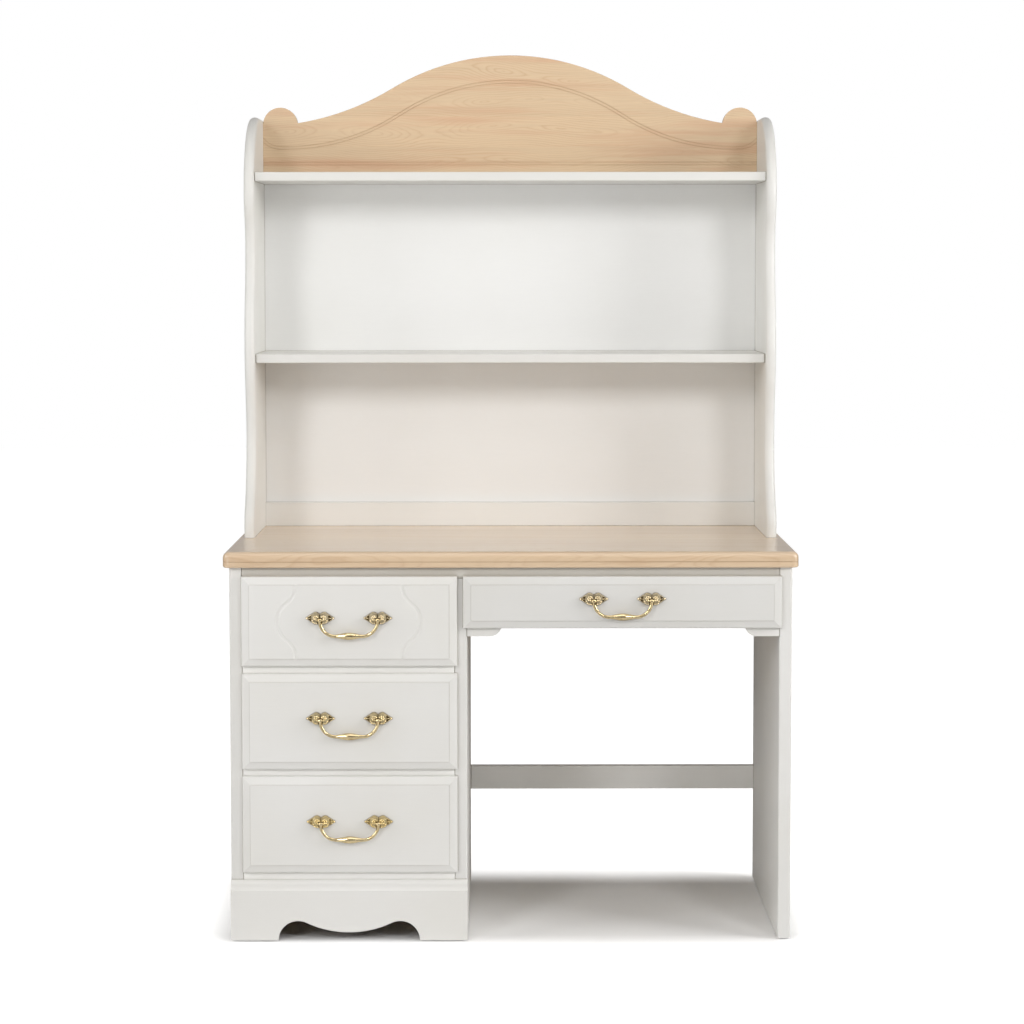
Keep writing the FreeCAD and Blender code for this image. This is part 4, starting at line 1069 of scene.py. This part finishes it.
@dataclass
class Drawer:
    """One drawer: its raised-field front, its box, and its pull."""

    name: str
    # The strength of the pulls' wash and their bright colour, set for this drawer as painted light and shade on
    # top of the real antiquing wash.
    wash: float
    bright: str
    white: SprayedWhiteLacquer = FRONT_WHITE
    pull_rise: float = 7.8 * MM

    def build(self) -> None:
        """Dress the front and the box, and make the pull."""
        prefix = f"{self.name}_drawer"
        dress(f"{prefix}_front", self.white, 0.0)
        for side in ("left", "right"):
            dress(f"{prefix}_{side}_side", DRAWER_SIDE_WOOD)
        dress(f"{prefix}_back", DRAWER_BACK_WOOD)
        dress(f"{prefix}_bottom", DRAWER_FLOOR_WOOD, 0.0)
        low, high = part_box(f"{prefix}_front")
        centre = Vector(((low.x + high.x) / 2, low.y, (low.z + high.z) / 2 + self.pull_rise))
        Pull(prefix, prefix, f"{self.name}_bail", centre, self.wash, self.bright).build()


@dataclass
class Casework:
    """The white carcass: three uprights, the rails between them, the plinth and the pedestal's back."""

    uprights: tuple[str, ...] = ("left_side_panel", "partition_panel", "right_end_panel")
    rails: tuple[str, ...] = ("upper_drawer_rail", "lower_drawer_rail", "bottom_rail")
    boards: tuple[str, ...] = ("kneehole_rail", "kneehole_back_rail", "back_stretcher", "plinth")
    back_arris: float = 0.4 * MM

    def build(self) -> None:
        """Dress each piece with the grain along its length."""
        for node in self.uprights:
            dress(node, UPRIGHT_WHITE)
        for node in self.rails:
            dress(node, RAIL_LIT_WHITE)
        for node in self.boards:
            dress(node, FRONT_WHITE)
        dress("top_rail", TOP_RAIL_SHADED_WHITE)
        dress("pedestal_back_panel", BACK_BOARD, self.back_arris)


@dataclass
class Hutch:
    """The white hutch: waved sides, two shelves, a back board and its foot rail."""

    sides: tuple[str, ...] = ("hutch_left_side", "hutch_right_side")
    shelves: tuple[str, ...] = ("hutch_middle_shelf", "hutch_top_shelf")
    side_arris: float = 0.5 * MM
    board_arris: float = 0.4 * MM

    def build(self) -> None:
        """Dress each piece with the grain along its length."""
        for node in self.sides:
            dress(node, SIDE_WHITE, self.side_arris)
        for node in self.shelves:
            dress(node, SHELF_WHITE, self.board_arris)
        dress("hutch_bottom_rail", RAIL_LIT_WHITE)
        dress("hutch_back_panel", BACK_BOARD, self.board_arris)


@dataclass
class NaturalWood:
    """The two pieces of clear-lacquered birch: the moulded desktop and the arched crest."""

    top_arris: float = 0.6 * MM
    crest_arris: float = 0.3 * MM

    def build(self) -> None:
        """Dress the desktop and the crest."""
        dress("desktop", TOP_WOOD, self.top_arris)
        dress("arch_panel", CREST_WOOD, self.crest_arris)


@dataclass
class HiddenParts:
    """What the carcass keeps inside and underneath: runners, glue blocks, dowels and glides."""

    glide_arris: float = 0.5 * MM

    def build(self) -> None:
        """Dress the hidden wood and nylon."""
        dress("drawer_runners", RUNNER_WOOD)
        dress("glue_blocks", BLOCK_WOOD)
        dress("hutch_dowels", BLOCK_WOOD, 0.0)
        dress("glides", NYLON, self.glide_arris)


@dataclass
class Studio:
    """A pale floor, a white room, soft lights and the camera."""

    lens: float = 93.5
    shift: float = -0.0624
    eye: Vector = field(default_factory=lambda: Vector((-0.00914, -5.3929, 1.31525)))
    pitch: float = -3.88
    yaw: float = -0.13
    roll: float = -0.03
    backdrop: str = "#ffffff"
    bounce: str = "#ffebd0"
    fill: float = 0.045
    ceiling: float = 0.8
    far_wall: float = 0.38
    floor_half: float = 14.0
    floor_glow: float = 0.95
    shadow_half: Point = (0.50, 0.21, 0.0)
    shadow_fade: float = 0.18

    def build(self) -> None:
        """Set up everything round the desk."""
        self.lay_floor()
        self.light_room()
        middle, chest = (0.0, 0.0, 0.8), (0.0, 0.1, 1.0)
        # Each lamp's name, place, aim, size in metres and power in watts.
        for lamp in (
            ("left_key", (-2.3, -4.6, 2.8), chest, 1.1, 57.0),
            ("right_key", (2.3, -4.6, 2.8), chest, 1.1, 55.0),
            ("low_fill", (-2.6, -3.8, 0.9), (0.0, 0.1, 0.6), 1.6, 21.0),
            ("overhead_softbox", (0.0, -1.2, 4.4), (0.0, 0.0, 0.3), 2.4, 10.0),
            ("boom_softbox", (0.0, -1.5, 3.2), middle, 1.8, 8.0),
            ("left_softbox", (-4.0, -1.6, 2.0), middle, 2.0, 56.0),
            ("right_softbox", (4.0, -1.6, 2.0), middle, 2.0, 104.0),
        ):
            self.hang_light(*lamp)
        self.place_camera()

    def lay_floor(self) -> None:
        """Lay a wide matt white floor."""
        bm = bmesh.new()
        bmesh.ops.create_grid(bm, x_segments=2, y_segments=2, size=self.floor_half)
        mesh = bpy.data.meshes.new("studio_floor")
        bm.to_mesh(mesh)
        bm.free()
        mesh.materials.append(self.paint_paper())
        floor = bpy.data.objects.new("studio_floor", mesh)
        bpy.context.scene.collection.objects.link(floor)

    def paint_paper(self) -> bpy.types.Material:
        """White paper that burns out round the desk, and keeps the soft shadow under it.

        Returns:
            The paper's material.
        """
        paper = bpy.data.materials.new("studio_paper")
        paper.use_nodes = True
        tree = paper.node_tree
        shader = tree.nodes["Principled BSDF"]
        shader.inputs["Base Color"].default_value = linear("#fbfbfb")
        shader.inputs["Roughness"].default_value = 0.9
        shader.inputs["Specular IOR Level"].default_value = 0.1
        shader.inputs["Emission Color"].default_value = linear("#ffffff")
        place = add_node(tree, "TexCoord", give="Object")
        mirrored = add_node(tree, "VectorMath", {0: place}, operation="ABSOLUTE")
        beyond = add_node(tree, "VectorMath", {0: mirrored, 1: self.shadow_half}, operation="SUBTRACT")
        beyond = add_node(tree, "VectorMath", {0: beyond, 1: (0.0, 0.0, 0.0)}, operation="MAXIMUM")
        distance = add_node(tree, "VectorMath", {0: beyond}, operation="LENGTH")
        glow = add_node(tree, "MapRange", {0: distance, 2: self.shadow_fade, 4: self.floor_glow},
                        interpolation_type="SMOOTHSTEP")
        seen = add_node(tree, "LightPath", give="Is Camera Ray")
        shown = add_node(tree, "Math", {0: glow, 1: seen}, operation="MULTIPLY")
        tree.links.new(shown, shader.inputs["Emission Strength"])
        return paper

    def light_room(self) -> None:
        """Surround the desk with a white room, its ceiling and far wall bright in anything that shines."""
        world = bpy.data.worlds.new("white_room")
        world.use_nodes = True
        tree = world.node_tree
        tree.nodes.clear()
        seen = add_node(tree, "Background", {"Color": linear(self.backdrop), "Strength": 1.0})
        heading = add_node(tree, "TexCoord", give="Generated")
        parts = add_node(tree, "SeparateXYZ", {0: heading}).node
        ceiling = add_node(tree, "MapRange", {0: parts.outputs[2], 1: 0.3, 2: 0.6, 3: 0.0, 4: self.ceiling},
                           interpolation_type="SMOOTHSTEP")
        wall = add_node(tree, "MapRange", {0: parts.outputs[1], 1: 0.3, 2: 0.7, 3: 0.0, 4: self.far_wall},
                        interpolation_type="SMOOTHSTEP")
        bright = add_node(tree, "Math", {0: ceiling, 1: wall}, operation="MAXIMUM")
        path = add_node(tree, "LightPath").node
        mirrored = add_node(tree, "Math", {0: bright, 1: path.outputs["Is Glossy Ray"], 2: self.fill},
                            operation="MULTIPLY_ADD")
        warmth = add_node(tree, "Mix", {0: path.outputs["Is Glossy Ray"], 6: linear(self.bounce),
                                        7: linear("#ffffff")}, data_type="RGBA")
        room = add_node(tree, "Background", {"Color": warmth, "Strength": mirrored})
        mixed = add_node(tree, "MixShader", {0: path.outputs["Is Camera Ray"], 1: room, 2: seen})
        add_node(tree, "OutputWorld", {"Surface": mixed})
        bpy.context.scene.world = world

    def hang_light(self, name: str, place: Point, aim: Point, size: float, power: float) -> None:
        """Hang a square softbox.

        Args:
            name: The light's name.
            place: Where it hangs.
            aim: What it faces.
            size: The length of its sides.
            power: Its power in watts.
        """
        lamp = bpy.data.lights.new(name, "AREA")
        lamp.energy = power
        lamp.size = size
        holder = bpy.data.objects.new(name, lamp)
        holder.location = place
        holder.rotation_euler = (Vector(aim) - Vector(place)).to_track_quat("-Z", "Y").to_euler()
        bpy.context.scene.collection.objects.link(holder)

    def place_camera(self) -> None:
        """Stand the camera in front of the desk, a little above its middle."""
        lens = bpy.data.cameras.new("studio_camera")
        lens.lens = self.lens
        lens.sensor_width = 36.0
        lens.shift_y = self.shift
        lens.clip_end = 60.0
        camera = bpy.data.objects.new("studio_camera", lens)
        camera.location = self.eye
        turn = Euler((math.radians(90 + self.pitch), 0.0, math.radians(self.yaw))).to_matrix()
        tilt = Euler((0.0, 0.0, math.radians(self.roll))).to_matrix()
        camera.rotation_euler = (turn @ tilt).to_euler()
        bpy.context.scene.collection.objects.link(camera)
        bpy.context.scene.camera = camera


def main() -> None:
    """Build the studio and dress the desk, sub-assembly by sub-assembly."""
    logging.basicConfig(level=logging.INFO, format="%(message)s", stream=sys.stdout)
    bpy.context.scene.view_settings.view_transform = "Standard"
    assemblies = [
        Studio(),
        NaturalWood(),
        Casework(),
        Hutch(),
        # Each drawer's pulls get their own copy of the brass; the wash's strength and the bright colour differ
        # drawer by drawer as painted light and shade, deepest in the top pulls' hollows and lightest in the
        # bottom pull's.
        Drawer("top", 0.97, "#ecdcb8"),
        Drawer("middle", 0.92, "#ead8ac"),
        Drawer("bottom", 0.68, "#e8d39e"),
        Drawer("pencil", 0.92, "#ecdcb8", PENCIL_SHADED_WHITE),
        HiddenParts(),
    ]
    for assembly in assemblies:
        log.info("building %s", type(assembly).__name__)
        assembly.build()


if __name__ == "__main__":
    main()
